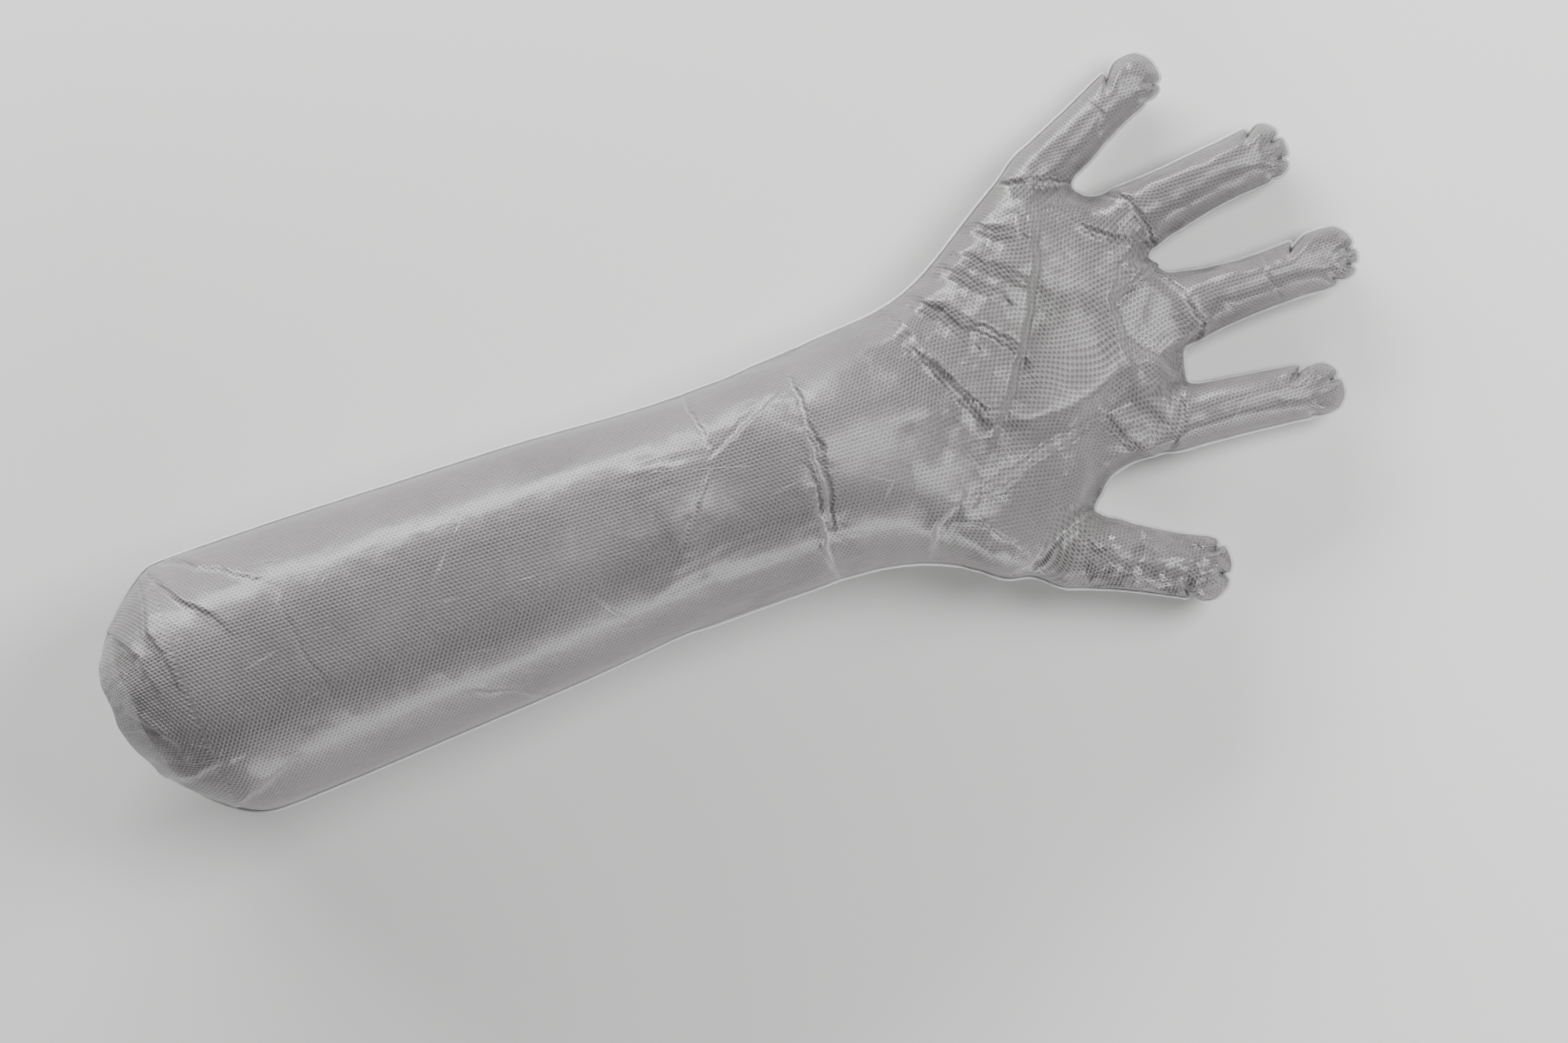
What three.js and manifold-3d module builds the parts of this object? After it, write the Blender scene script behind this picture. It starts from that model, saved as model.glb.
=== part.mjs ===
import * as THREE from 'three';
import Module from 'manifold-3d';

// A long disposable glove of thin embossed plastic film, puffed up and lying palm up.
// Two sheets of film are welded to each other along the outline: the upper one and the lower one.
// Each sheet is divided into sleeve, palm and fingers, with a hair's gap, so that its hollow stays open.
// The glove is drawn with x = 0 at the wrist, +X to the fingertips, +Y to the little finger, +Z up,
// and is then placed so that the middle of its footprint is at the origin. Lengths are millimetres.

// The film and its weld
const WALL = 1; // wall of the solid film, far thicker than the real film
const SEAM_LIP = 2; // how far the weld rim stands out from the puffed bag
const SEAM_GAP = 0.3; // clearance between the two sheets in the weld, and where a sheet is divided
const PRESS = 2; // how far the underside is flattened where it rests

// The sleeve, widths measured over the weld rim
const SLEEVE_LENGTH = 262; // shoulder of the gathered mouth to the wrist
const SLEEVE_WIDTH = 123;
const SLEEVE_HEIGHT = 118;
const SLEEVE_SQUARE = 2.05; // how boxy the section is; 2 is an ellipse
const WRIST_WIDTH = 100;
const WRIST_HEIGHT = 92;

// The gathered mouth
const GATHER_LENGTH = 26; // shoulder to the rim, at the weld
const MOUTH_WIDTH = 72;
const MOUTH_BOW = 13; // how far the rim runs out over the top and under the bottom
const MOUTH_SKEW = 5; // how much further the little finger's side runs out than the middle
const SKEW_START = 0.8; // share of the sleeve's length where the end begins to lean
const RIM_FULLNESS = 1.3; // 1 for a blunt rim seen from above, 2 for a pointed one
const MOUTH_TURN = 72; // degrees the dome turns in from shoulder to rim
const MOUTH_ROUND = 0.5; // 1 for a round dome, 0 for a plain cone
const PLEATS = 7;
const PLEAT_DEPTH = 3;

// The palm, from the wrist to the finger bases
const PALM_LENGTH = 183;
const PALM_REACH = 90; // from the sleeve's axis to the little finger's edge
const THUMB_REACH = 80; // from the sleeve's axis to the thumb's edge
const KNUCKLE_HEIGHT = 34;
const HEEL_START = 0.42; // share of the palm's length where the sheets are divided behind the palm

// The fingers; the middle finger has these sizes, the others have shares of them
const FINGER_LENGTH = 83;
const FINGER_WIDTH = 32;
const FINGER_HEIGHT = 29;
const FINGER_SQUARE = 2.1;
const FLARE_END = 0.4; // share of the finger's length where its widened base ends
const LEAN_START = 0.5; // shares of the finger's length between which its tip leans over
const LEAN_END = 0.9;

// How finely the surfaces are divided
const BODY_STEPS = 12; // facets over the top of a body section
const FINGER_STEPS = 5; // facets over the top of a finger section

// Sleeve sections: at is the share of the sleeve's length back from the wrist, swell the share of the
// way from the wrist's size to the sleeve's.
const SLEEVE_ROWS = [
  { at: 1.0, swell: 1.0 },
  { at: 0.93, swell: 1.0 },
  { at: 0.82, swell: 0.93 },
  { at: 0.6, swell: 0.71 },
  { at: 0.5, swell: 0.62 },
  { at: 0.31, swell: 0.36 },
  { at: 0.155, swell: 0.09 },
  { at: 0.0, swell: 0.0 },
];

// Sections of the gathered mouth: turn is the share of the dome's turn from shoulder to rim.
const GATHER_ROWS = [
  { turn: 1.0 },
  { turn: 0.8 },
  { turn: 0.55 },
  { turn: 0.28 },
];

// Palm sections: at is the share of the palm's length, little and thumb the shares of the way from the
// wrist's half width to each reach, drop the share of the way from the wrist's height to the knuckles',
// puff the share of the full height, square how boxy the section is (2 is an ellipse).
const PALM_ROWS = [
  { at: 0.06, little: 0.0, thumb: 0.0, drop: 0.01, puff: 1, square: 2.05 },
  { at: 0.09, little: 0.0, thumb: 0.02, drop: 0.02, puff: 1, square: 2.05 },
  { at: 0.125, little: 0.01, thumb: 0.04, drop: 0.04, puff: 1, square: 2.1 },
  { at: 0.17, little: 0.02, thumb: 0.09, drop: 0.08, puff: 1, square: 2.1 },
  { at: 0.22, little: 0.02, thumb: 0.17, drop: 0.14, puff: 1, square: 2.15 },
  { at: 0.27, little: 0.03, thumb: 0.29, drop: 0.21, puff: 1, square: 2.2 },
  { at: 0.32, little: 0.04, thumb: 0.46, drop: 0.28, puff: 1, square: 2.25 },
  { at: 0.36, little: 0.07, thumb: 0.7, drop: 0.34, puff: 1, square: 2.3 },
  { at: 0.4, little: 0.11, thumb: 0.92, drop: 0.4, puff: 1, square: 2.35 },
  { at: 0.44, little: 0.18, thumb: 1.0, drop: 0.45, puff: 1, square: 2.35 },
  { at: 0.49, little: 0.29, thumb: 0.96, drop: 0.5, puff: 1, square: 2.35 },
  { at: 0.54, little: 0.43, thumb: 0.76, drop: 0.55, puff: 1, square: 2.35 },
  { at: 0.59, little: 0.59, thumb: 0.58, drop: 0.61, puff: 1, square: 2.35 },
  { at: 0.64, little: 0.75, thumb: 0.42, drop: 0.66, puff: 1, square: 2.35 },
  { at: 0.69, little: 0.9, thumb: 0.03, drop: 0.71, puff: 1, square: 2.35 },
  { at: 0.735, little: 0.98, thumb: -0.06, drop: 0.76, puff: 1, square: 2.35 },
  { at: 0.78, little: 0.98, thumb: -0.05, drop: 0.81, puff: 1, square: 2.35 },
  { at: 0.825, little: 0.84, thumb: 0.04, drop: 0.86, puff: 1, square: 2.35 },
  { at: 0.875, little: 0.64, thumb: -0.06, drop: 0.91, puff: 1, square: 2.3 },
  { at: 0.91, little: 0.33, thumb: -0.4, drop: 0.94, puff: 1, square: 2.3 },
  { at: 0.945, little: 0.02, thumb: -0.78, drop: 0.96, puff: 0.96, square: 2.3 },
  { at: 0.972, little: -0.38, thumb: -1.36, drop: 0.98, puff: 0.85, square: 2.2 },
  { at: 1.0, little: -0.72, thumb: -1.92, drop: 1.0, puff: 0.6, square: 2.1 },
];

// Fingers: x and y place the base as shares of the palm's length and of the reach on that side,
// turn is the angle from the sleeve's axis in degrees, long, wide and high are shares of the
// middle finger's sizes, flare widens the base, lean moves the tip to the little finger's side,
// root is the share of the finger's length where it parts from the palm, and spare the share of the
// width by which it takes more of the film to each side there.
const FINGERS = [
  { name: 'little', x: 0.79, y: 0.93, turn: 23, long: 0.88, wide: 0.88, high: 0.9, flare: 0, lean: -0.05, root: 0, spare: 0.1125 },
  { name: 'ring', x: 0.96, y: 0.56, turn: 7.5, long: 0.95, wide: 1.02, high: 1.02, flare: 0.08, lean: -0.04, root: 0.05, spare: 0 },
  { name: 'middle', x: 1, y: 0.06, turn: 0.7, long: 1, wide: 1, high: 1, flare: 0.14, lean: 0.02, root: 0.03, spare: 0 },
  { name: 'index', x: 0.89, y: -0.48, turn: -8, long: 0.95, wide: 0.9, high: 0.93, flare: 0.08, lean: 0.05, root: 0.13, spare: 0 },
  { name: 'thumb', x: 0.56, y: -0.93, turn: -26, long: 0.87, wide: 1.05, high: 1.04, flare: 0.08, lean: 0, root: 0.19, spare: 0 },
];

// Finger sections: along is the share of the finger's length, below 0 inside the palm.
const FINGER_ROWS = [
  { along: -0.36, width: 0.3, height: 0.5 },
  { along: -0.18, width: 0.66, height: 0.85 },
  { along: 0.0, width: 1.01, height: 1.06 },
  { along: 0.14, width: 1.01, height: 1.05 },
  { along: 0.32, width: 0.99, height: 1.02 },
  { along: 0.52, width: 0.96, height: 1.0 },
  { along: 0.68, width: 0.94, height: 0.97 },
  { along: 0.76, width: 0.95, height: 0.95 },
  { along: 0.83, width: 0.96, height: 0.9 },
  { along: 0.885, width: 0.93, height: 0.82 },
  { along: 0.93, width: 0.84, height: 0.7 },
  { along: 0.97, width: 0.64, height: 0.5 },
  { along: 1.0, width: 0.34, height: 0.16 },
];

// Height of the weld beyond the palm: along is the share of the middle finger's length, seam the
// share of its height.
const SEAM_ROWS = [
  { along: 0.5, seam: 0.49 },
  { along: 1.0, seam: 0.45 },
];

// Puckers of the weld near the tips: side 1 is the little finger's side, along the share of the
// finger's length, bite the share of the finger's half width, span the share of its length.
const PUCKERS = [
  { finger: 'little', side: 1, along: 0.76, bite: 0.13, span: 0.035 },
  { finger: 'little', side: -1, along: 0.84, bite: 0.1, span: 0.035 },
  { finger: 'ring', side: 1, along: 0.88, bite: 0.16, span: 0.03 },
  { finger: 'ring', side: -1, along: 0.88, bite: 0.12, span: 0.03 },
  { finger: 'middle', side: 1, along: 0.74, bite: 0.16, span: 0.035 },
  { finger: 'middle', side: -1, along: 0.885, bite: 0.13, span: 0.03 },
  { finger: 'index', side: 1, along: 0.8, bite: 0.14, span: 0.035 },
  { finger: 'index', side: -1, along: 0.83, bite: 0.1, span: 0.03 },
  { finger: 'thumb', side: 1, along: 0.93, bite: 0.16, span: 0.03 },
  { finger: 'thumb', side: -1, along: 0.77, bite: 0.15, span: 0.035 },
];

// Folds pressed into the upper sheet. Places are shares: x of the palm's length (of the sleeve's
// below 0), y of the wrist's half width. Depth and reach are shares of the finger's width.
const FOLDS = [
  { name: 'wrist kink, far half', x1: 0.09, y1: 0.72, x2: 0.075, y2: 0.1, depth: 0.2, reach: 0.17 },
  { name: 'wrist kink, near half', x1: 0.065, y1: 0.0, x2: 0.03, y2: -0.95, depth: 0.24, reach: 0.17 },
  { name: 'palm dent 1', x1: 0.36, y1: 0.95, x2: 0.45, y2: 0.15, depth: 0.12, reach: 0.17 },
  { name: 'palm dent 2', x1: 0.4, y1: 1.05, x2: 0.52, y2: 0.42, depth: 0.12, reach: 0.16 },
  { name: 'palm dent 3', x1: 0.49, y1: 0.85, x2: 0.61, y2: 0.3, depth: 0.12, reach: 0.16 },
  { name: 'palm dent 4', x1: 0.57, y1: 1.2, x2: 0.68, y2: 0.8, depth: 0.12, reach: 0.16 },
  { name: 'little finger base', x1: 0.7, y1: 1.68, x2: 0.88, y2: 1.42, depth: 0.12, reach: 0.14 },
  { name: 'ring finger base', x1: 0.91, y1: 1.3, x2: 0.985, y2: 0.75, depth: 0.12, reach: 0.14 },
  { name: 'middle finger base', x1: 0.985, y1: 0.45, x2: 0.985, y2: -0.25, depth: 0.12, reach: 0.14 },
  { name: 'index finger base', x1: 0.93, y1: -0.45, x2: 0.84, y2: -1.02, depth: 0.12, reach: 0.14 },
  { name: 'thumb base', x1: 0.66, y1: -1.15, x2: 0.42, y2: -1.5, depth: 0.14, reach: 0.17 },
  { name: 'thumb heel', x1: 0.5, y1: -0.6, x2: 0.3, y2: -1.0, depth: 0.1, reach: 0.17 },
  { name: 'sleeve crease', x1: -0.5, y1: -0.8, x2: -0.6, y2: -0.4, depth: 0.06, reach: 0.2 },
];

const HALF_LIP = WALL; // half of the weld rim's thickness
const wasm = await Module();
wasm.setup();

// A smooth curve through the rows of a table, each row holding a place and a value.
function follow(rows, place, key, value) {
  let i = 0;
  while (i < rows.length - 2 && rows[i + 1][key] < place) i += 1;
  const a = rows[i];
  const b = rows[i + 1];
  const before = rows[Math.max(i - 1, 0)];
  const after = rows[Math.min(i + 2, rows.length - 1)];
  const run = b[key] - a[key];
  const t = THREE.MathUtils.clamp((place - a[key]) / run, 0, 1);
  const slopeA = ((b[value] - before[value]) / (b[key] - before[key])) * run;
  const slopeB = ((after[value] - a[value]) / (after[key] - a[key])) * run;
  const t2 = t * t;
  const t3 = t2 * t;
  const ends = (2 * t3 - 3 * t2 + 1) * a[value] + (3 * t2 - 2 * t3) * b[value];
  return ends + (t3 - 2 * t2 + t) * slopeA + (t3 - t2) * slopeB;
}

// Height of the weld above the surface, along the glove: half the height of the bag there.
const seamRows = [
  ...SLEEVE_ROWS.map((row) => ({
    x: -row.at * SLEEVE_LENGTH,
    z: THREE.MathUtils.lerp(WRIST_HEIGHT, SLEEVE_HEIGHT, row.swell) / 2,
  })),
  ...PALM_ROWS.map((row) => ({
    x: row.at * PALM_LENGTH,
    z: THREE.MathUtils.lerp(WRIST_HEIGHT, KNUCKLE_HEIGHT, row.drop) / 2,
  })),
  ...SEAM_ROWS.map((row) => ({
    x: PALM_LENGTH + row.along * FINGER_LENGTH,
    z: row.seam * FINGER_HEIGHT,
  })),
];

function seamHeight(x) {
  return follow(seamRows, x, 'x', 'z');
}

// How deep the folds press the upper sheet at a point.
function foldDepth(x, y) {
  let deepest = 0;
  for (const fold of FOLDS) {
    const a = foldPoint(fold.x1, fold.y1);
    const b = foldPoint(fold.x2, fold.y2);
    const along = b.clone().sub(a);
    const point = new THREE.Vector2(x, y).sub(a);
    const share = THREE.MathUtils.clamp(point.dot(along) / along.lengthSq(), 0, 1);
    const away = point.distanceTo(along.clone().multiplyScalar(share));
    const spread = away / (fold.reach * FINGER_WIDTH);
    const fade = 0.5 + 0.5 * Math.sin(Math.PI * share);
    deepest = Math.max(deepest, fold.depth * FINGER_WIDTH * fade * Math.exp(-spread * spread));
  }
  return deepest;
}

function foldPoint(x, y) {
  const length = x < 0 ? SLEEVE_LENGTH : PALM_LENGTH;
  return new THREE.Vector2(x * length, (y * WRIST_WIDTH) / 2);
}

// A point of a section goes to its place: folded if it is on top, flattened if it is underneath.
function settle(x, y, rise, inset) {
  const seam = seamHeight(x);
  const top = THREE.MathUtils.smoothstep(rise, HALF_LIP, seam / 2);
  const z = seam + rise - foldDepth(x, y) * top;
  return new THREE.Vector3(x, y, Math.max(z, inset));
}

// One closed section round its middle: across and rise in millimetres, from the weld on the little
// finger's side over the top and back underneath. Only the outside carries the weld rim.
// width(side) is the half width on each side (1 is the little finger's), height(side) above and below.
function ring({ width, height, square, lip }, steps) {
  const power = 2 / square;
  const points = [];
  for (const side of [1, -1]) {
    const start = side > 0 ? 0 : Math.PI;
    const rim = (edge) => edge * (width(edge) + SEAM_LIP);
    if (lip) points.push({ across: rim(side), rise: side * HALF_LIP, angle: start });
    for (let i = 0; i < steps + (lip ? 1 : 0); i += 1) {
      const angle = (Math.PI * i) / steps;
      const edge = side * Math.sign(Math.cos(angle) || 1);
      const rise = height(side) * Math.abs(Math.sin(angle)) ** power;
      points.push({
        across: edge * Math.abs(Math.cos(angle)) ** power * width(edge),
        rise: side * Math.max(rise, lip ? HALF_LIP : 0),
        angle: start + angle,
      });
    }
    if (lip) points.push({ across: rim(-side), rise: side * HALF_LIP, angle: start + Math.PI });
  }
  return points;
}

// The gathered mouth: the sleeve turns in like a dome to an open, pleated rim. The hollow (inset
// is the wall) runs out through the rim, so the mouth is open.
function mouthSections(inset) {
  const lip = inset === 0;
  const full = THREE.MathUtils.degToRad(MOUTH_TURN);
  const halfSleeve = SLEEVE_WIDTH / 2 - SEAM_LIP;
  const closing = 1 - MOUTH_WIDTH / SLEEVE_WIDTH;
  const seam = seamHeight(-SLEEVE_LENGTH);
  const rows = lip ? GATHER_ROWS : [{ turn: 1, beyond: 3 * WALL }, ...GATHER_ROWS];

  return rows.map((row) => {
    const turn = row.turn * full;
    const runShare = Math.sin(turn) / Math.sin(full);
    const domeShare = (1 - Math.cos(turn)) / (1 - Math.cos(full));
    const shrink = 1 - closing * THREE.MathUtils.lerp(runShare, domeShare, MOUTH_ROUND);
    const off = inset * Math.cos(turn);
    const width = () => halfSleeve * shrink - off;
    const height = () => (SLEEVE_HEIGHT / 2) * shrink - off;
    return ring({ width, height, square: 2, lip }, BODY_STEPS).map((point) => {
      const over = Math.abs(Math.sin(point.angle)) ** RIM_FULLNESS;
      const run = (GATHER_LENGTH + MOUTH_BOW * over) * runShare + mouthSkew(1, point.angle);
      const pleat = PLEAT_DEPTH * row.turn * over * (0.5 - 0.5 * Math.cos(PLEATS * point.angle));
      const pull = 1 - pleat / Math.hypot(point.across, point.rise);
      const x = -SLEEVE_LENGTH - run - (row.beyond ?? 0) + inset * Math.sin(turn);
      return new THREE.Vector3(x, point.across * pull, Math.max(seam + point.rise * pull, inset));
    });
  });
}

// The mouth and the end of the sleeve lean out on the little finger's side and in on the thumb's.
function mouthSkew(at, angle) {
  return MOUTH_SKEW * Math.cos(angle) * THREE.MathUtils.smoothstep(at, SKEW_START, 1);
}

function sleeveSections(inset) {
  return SLEEVE_ROWS.map((row) => {
    const seam = seamHeight(-row.at * SLEEVE_LENGTH);
    const span = THREE.MathUtils.lerp(WRIST_WIDTH, SLEEVE_WIDTH, row.swell);
    const width = () => span / 2 - SEAM_LIP - inset;
    const height = (side) => seam + (side < 0 ? PRESS : 0) - inset;
    return ring({ width, height, square: SLEEVE_SQUARE, lip: inset === 0 }, BODY_STEPS).map((point) => {
      const x = -row.at * SLEEVE_LENGTH - mouthSkew(row.at, point.angle);
      return settle(x, point.across, point.rise, inset);
    });
  });
}

function palmSections(inset) {
  return PALM_ROWS.map((row) => {
    const x = row.at * PALM_LENGTH;
    const seam = seamHeight(x);
    const little = THREE.MathUtils.lerp(WRIST_WIDTH / 2, PALM_REACH, row.little);
    const thumb = THREE.MathUtils.lerp(WRIST_WIDTH / 2, THUMB_REACH, row.thumb);
    const middle = (little - thumb) / 2;
    const width = () => (little + thumb) / 2 - SEAM_LIP - inset;
    const height = (side) => (seam + (side < 0 ? PRESS : 0)) * row.puff - inset;
    return ring({ width, height, square: row.square, lip: inset === 0 }, BODY_STEPS)
      .map((point) => settle(x, middle + point.across, point.rise, inset));
  });
}

// How much of a finger's half width is left at a pucker of its weld.
function puckerShare(finger, side, along) {
  let share = 1;
  for (const pucker of PUCKERS) {
    if (pucker.finger !== finger.name || pucker.side !== side) continue;
    const away = (along - pucker.along) / pucker.span;
    share -= pucker.bite * Math.exp(-away * away);
  }
  return share;
}

// Where a finger starts, which way it points, and its length and half width inside the weld rim.
function fingerPlace(finger) {
  const turn = THREE.MathUtils.degToRad(finger.turn);
  const reach = finger.y > 0 ? PALM_REACH : THUMB_REACH;
  const base = new THREE.Vector2(finger.x * PALM_LENGTH, finger.y * reach);
  const axis = new THREE.Vector2(Math.cos(turn), Math.sin(turn));
  const normal = new THREE.Vector2(-axis.y, axis.x);
  const halfWidth = (finger.wide * FINGER_WIDTH) / 2 - SEAM_LIP;
  return { base, axis, normal, length: finger.long * FINGER_LENGTH, halfWidth };
}

// A finger: sections across its own axis, from inside the palm to the tip.
function fingerSections(finger, inset) {
  const { base, axis, normal, halfWidth, ...place } = fingerPlace(finger);
  const length = place.length - inset;
  const halfHeight = (finger.high * FINGER_HEIGHT) / 2;
  const { clamp } = THREE.MathUtils;

  return FINGER_ROWS.map((row) => {
    const flare = 1 + finger.flare * clamp(1 - row.along / FLARE_END, 0, 1) ** 2;
    const leanShare = clamp((row.along - LEAN_START) / (LEAN_END - LEAN_START), 0, 1) ** 2;
    const lean = finger.lean * FINGER_WIDTH * leanShare;
    const width = (side) => halfWidth * row.width * flare * puckerShare(finger, side, row.along) - inset;
    const height = () => halfHeight * row.height - inset;
    return ring({ width, height, square: FINGER_SQUARE, lip: inset === 0 }, FINGER_STEPS).map((point) => {
      const spot = base.clone()
        .addScaledVector(axis, row.along * length)
        .addScaledVector(normal, point.across + lean);
      return settle(spot.x, spot.y, point.rise, inset);
    });
  });
}

// A closed solid through a row of sections, with a fan of triangles over each end.
function loft(sections) {
  const count = sections[0].length;
  const vertices = sections.flat();
  const triangles = [];
  for (let i = 0; i < sections.length - 1; i += 1) {
    for (let j = 0; j < count; j += 1) {
      const next = (j + 1) % count;
      const a = i * count + j;
      const b = i * count + next;
      triangles.push([a, b, b + count], [a, b + count, a + count]);
    }
  }
  for (const end of [0, sections.length - 1]) {
    const middle = new THREE.Vector3();
    sections[end].forEach((point) => middle.addScaledVector(point, 1 / count));
    const hub = vertices.push(middle) - 1;
    for (let j = 0; j < count; j += 1) {
      const a = end * count + j;
      const b = end * count + ((j + 1) % count);
      triangles.push(end === 0 ? [hub, b, a] : [hub, a, b]);
    }
  }
  return solid(vertices, triangles);
}

function solid(vertices, triangles) {
  let volume = 0;
  for (const [a, b, c] of triangles) {
    volume += vertices[a].dot(vertices[b].clone().cross(vertices[c]));
  }
  const outward = volume > 0 ? triangles : triangles.map(([a, b, c]) => [a, c, b]);
  const mesh = new wasm.Mesh({
    numProp: 3,
    vertProperties: new Float32Array(vertices.flatMap((vertex) => vertex.toArray())),
    triVerts: new Uint32Array(outward.flat()),
  });
  return new wasm.Manifold(mesh);
}

// Everything above the weld, or everything below it, as a curved block under or over the seam line.
function halfSpace(side) {
  const far = side * (SLEEVE_HEIGHT + WRIST_HEIGHT);
  const margin = SLEEVE_WIDTH;
  const reach = PALM_REACH + THUMB_REACH + FINGER_LENGTH;
  const start = -SLEEVE_LENGTH - GATHER_LENGTH - MOUTH_BOW - margin;
  const end = PALM_LENGTH + FINGER_LENGTH + margin;
  const sections = [start, ...seamRows.map((row) => row.x), end].map((x) => {
    const near = seamHeight(x) + (side * SEAM_GAP) / 2;
    return [
      new THREE.Vector3(x, -reach, near),
      new THREE.Vector3(x, reach, near),
      new THREE.Vector3(x, reach, near + far),
      new THREE.Vector3(x, -reach, near + far),
    ];
  });
  return loft(sections);
}

// A block that holds one finger beyond its root and nothing of its neighbours.
function fingerBlock(finger, clearance) {
  const { base, axis, normal, length, halfWidth } = fingerPlace(finger);
  const start = finger.root * length - clearance;
  const end = length + FINGER_WIDTH;
  const reach = halfWidth * (1 + finger.flare) + SEAM_LIP + finger.spare * FINGER_WIDTH;
  const corner = (along, across, z) => {
    const place = base.clone().addScaledVector(axis, along).addScaledVector(normal, across);
    return new THREE.Vector3(place.x, place.y, z);
  };
  return loft([start, end].map((along) => [
    corner(along, -reach, -FINGER_HEIGHT),
    corner(along, reach, -FINGER_HEIGHT),
    corner(along, reach, SLEEVE_HEIGHT),
    corner(along, -reach, SLEEVE_HEIGHT),
  ]));
}

// Everything between two places along the glove.
function lengthBlock(start, end) {
  const reach = PALM_REACH + THUMB_REACH + FINGER_LENGTH;
  return loft([start, end].map((x) => [
    new THREE.Vector3(x, -reach, -SLEEVE_HEIGHT),
    new THREE.Vector3(x, reach, -SLEEVE_HEIGHT),
    new THREE.Vector3(x, reach, 2 * SLEEVE_HEIGHT),
    new THREE.Vector3(x, -reach, 2 * SLEEVE_HEIGHT),
  ]));
}

// The sleeve, palm and fingers joined into one closed form.
function handForm(inset) {
  const body = [...mouthSections(inset), ...sleeveSections(inset), ...palmSections(inset)];
  const fingers = FINGERS.map((finger) => loft(fingerSections(finger, inset)));
  return fingers.reduce((sum, finger) => sum.add(finger), loft(body));
}

function toMesh(name, part, material) {
  const { vertProperties, triVerts } = part.getMesh();
  const geometry = new THREE.BufferGeometry();
  geometry.setAttribute('position', new THREE.BufferAttribute(new Float32Array(vertProperties), 3));
  geometry.setIndex(new THREE.BufferAttribute(new Uint32Array(triVerts), 1));
  geometry.computeVertexNormals();
  const mesh = new THREE.Mesh(geometry, material);
  mesh.name = name;
  return mesh;
}

function filmMaterial(color) {
  return new THREE.MeshStandardMaterial({
    color,
    roughness: 0.38,
    metalness: 0,
    transparent: true,
    opacity: 0.72,
    side: THREE.DoubleSide,
  });
}

const bag = handForm(0).subtract(handForm(WALL));
const sheets = [
  { name: 'upper', film: bag.intersect(halfSpace(1)), material: filmMaterial(0xdad7d8) },
  { name: 'lower', film: bag.intersect(halfSpace(-1)), material: filmMaterial(0xcfcccd) },
];
const glove = new THREE.Group();
const beyond = SLEEVE_LENGTH + PALM_LENGTH + 2 * FINGER_LENGTH;
const heel = HEEL_START * PALM_LENGTH;
const half = SEAM_GAP / 2;
for (const sheet of sheets) {
  const sleeve = sheet.film.intersect(lengthBlock(-beyond, -half));
  const wrist = sheet.film.intersect(lengthBlock(half, heel - half));
  let palm = sheet.film.intersect(lengthBlock(heel + half, beyond));
  glove.add(toMesh(`${sheet.name}_sleeve`, sleeve, sheet.material));
  glove.add(toMesh(`${sheet.name}_wrist`, wrist, sheet.material));
  for (const finger of FINGERS) {
    glove.add(toMesh(`${sheet.name}_${finger.name}`, palm.intersect(fingerBlock(finger, 0)), sheet.material));
    palm = palm.subtract(fingerBlock(finger, SEAM_GAP));
  }
  glove.add(toMesh(`${sheet.name}_palm`, palm, sheet.material));
}

const box = new THREE.Box3().setFromObject(glove);
glove.position.set(-(box.min.x + box.max.x) / 2, -(box.min.y + box.max.y) / 2, -box.min.z);

export default glove;
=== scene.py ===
import math

import bmesh
import bpy
import numpy as np
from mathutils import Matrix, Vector, geometry
from mathutils.bvhtree import BVHTree


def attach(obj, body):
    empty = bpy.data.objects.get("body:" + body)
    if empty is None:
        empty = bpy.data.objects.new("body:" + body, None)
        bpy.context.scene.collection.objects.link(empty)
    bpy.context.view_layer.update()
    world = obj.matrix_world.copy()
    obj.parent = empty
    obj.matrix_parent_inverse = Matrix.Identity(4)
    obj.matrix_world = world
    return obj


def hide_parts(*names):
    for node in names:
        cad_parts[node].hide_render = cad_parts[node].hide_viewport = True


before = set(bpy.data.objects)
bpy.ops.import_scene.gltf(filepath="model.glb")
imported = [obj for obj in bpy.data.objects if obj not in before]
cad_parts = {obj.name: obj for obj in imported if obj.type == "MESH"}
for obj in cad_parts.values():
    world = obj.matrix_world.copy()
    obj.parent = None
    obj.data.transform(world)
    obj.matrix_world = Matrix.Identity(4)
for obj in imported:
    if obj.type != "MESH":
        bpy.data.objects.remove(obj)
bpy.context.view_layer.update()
scene = bpy.context.scene
milli = 0.001

# The glove is worked out in millimetres: x = 0 at the wrist, +x to the fingertips, +y to the little finger.
# While it is being puffed up, the weld between the two sheets lies straight along z = 0.
glove = {
    "place": (17.826, -1.570),  # from these lengths to the frame's origin
    "sleeveLength": 262, "sleeveWidth": 123, "sleeveHeight": 118, "sleeveSquare": 2.05,
    "wristWidth": 100, "wristHeight": 92,
    "gatherLength": 26, "mouthWidth": 72, "mouthBow": 13, "mouthSkew": 5, "skewStart": 0.8,
    "rimFullness": 1.3, "mouthTurn": 72, "mouthRound": 0.5, "pleats": 7, "pleatDepth": 3,
    "palmLength": 183, "littleReach": 90, "thumbReach": 80, "knuckleHeight": 34,
    "fingerLength": 83, "fingerWidth": 32, "fingerHeight": 29, "fingerSquare": 2.1,
    "weldLip": 2, "press": 2,
}

# share of the sleeve back from the wrist, share of the way from the wrist's size to the sleeve's
sleeveRows = [
    (0.0, 0.0), (0.08, 0.02), (0.155, 0.09), (0.23, 0.21), (0.31, 0.36), (0.4, 0.51),
    (0.5, 0.62), (0.6, 0.71), (0.71, 0.82), (0.82, 0.93), (0.93, 1.0), (1.0, 1.0),
]

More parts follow.
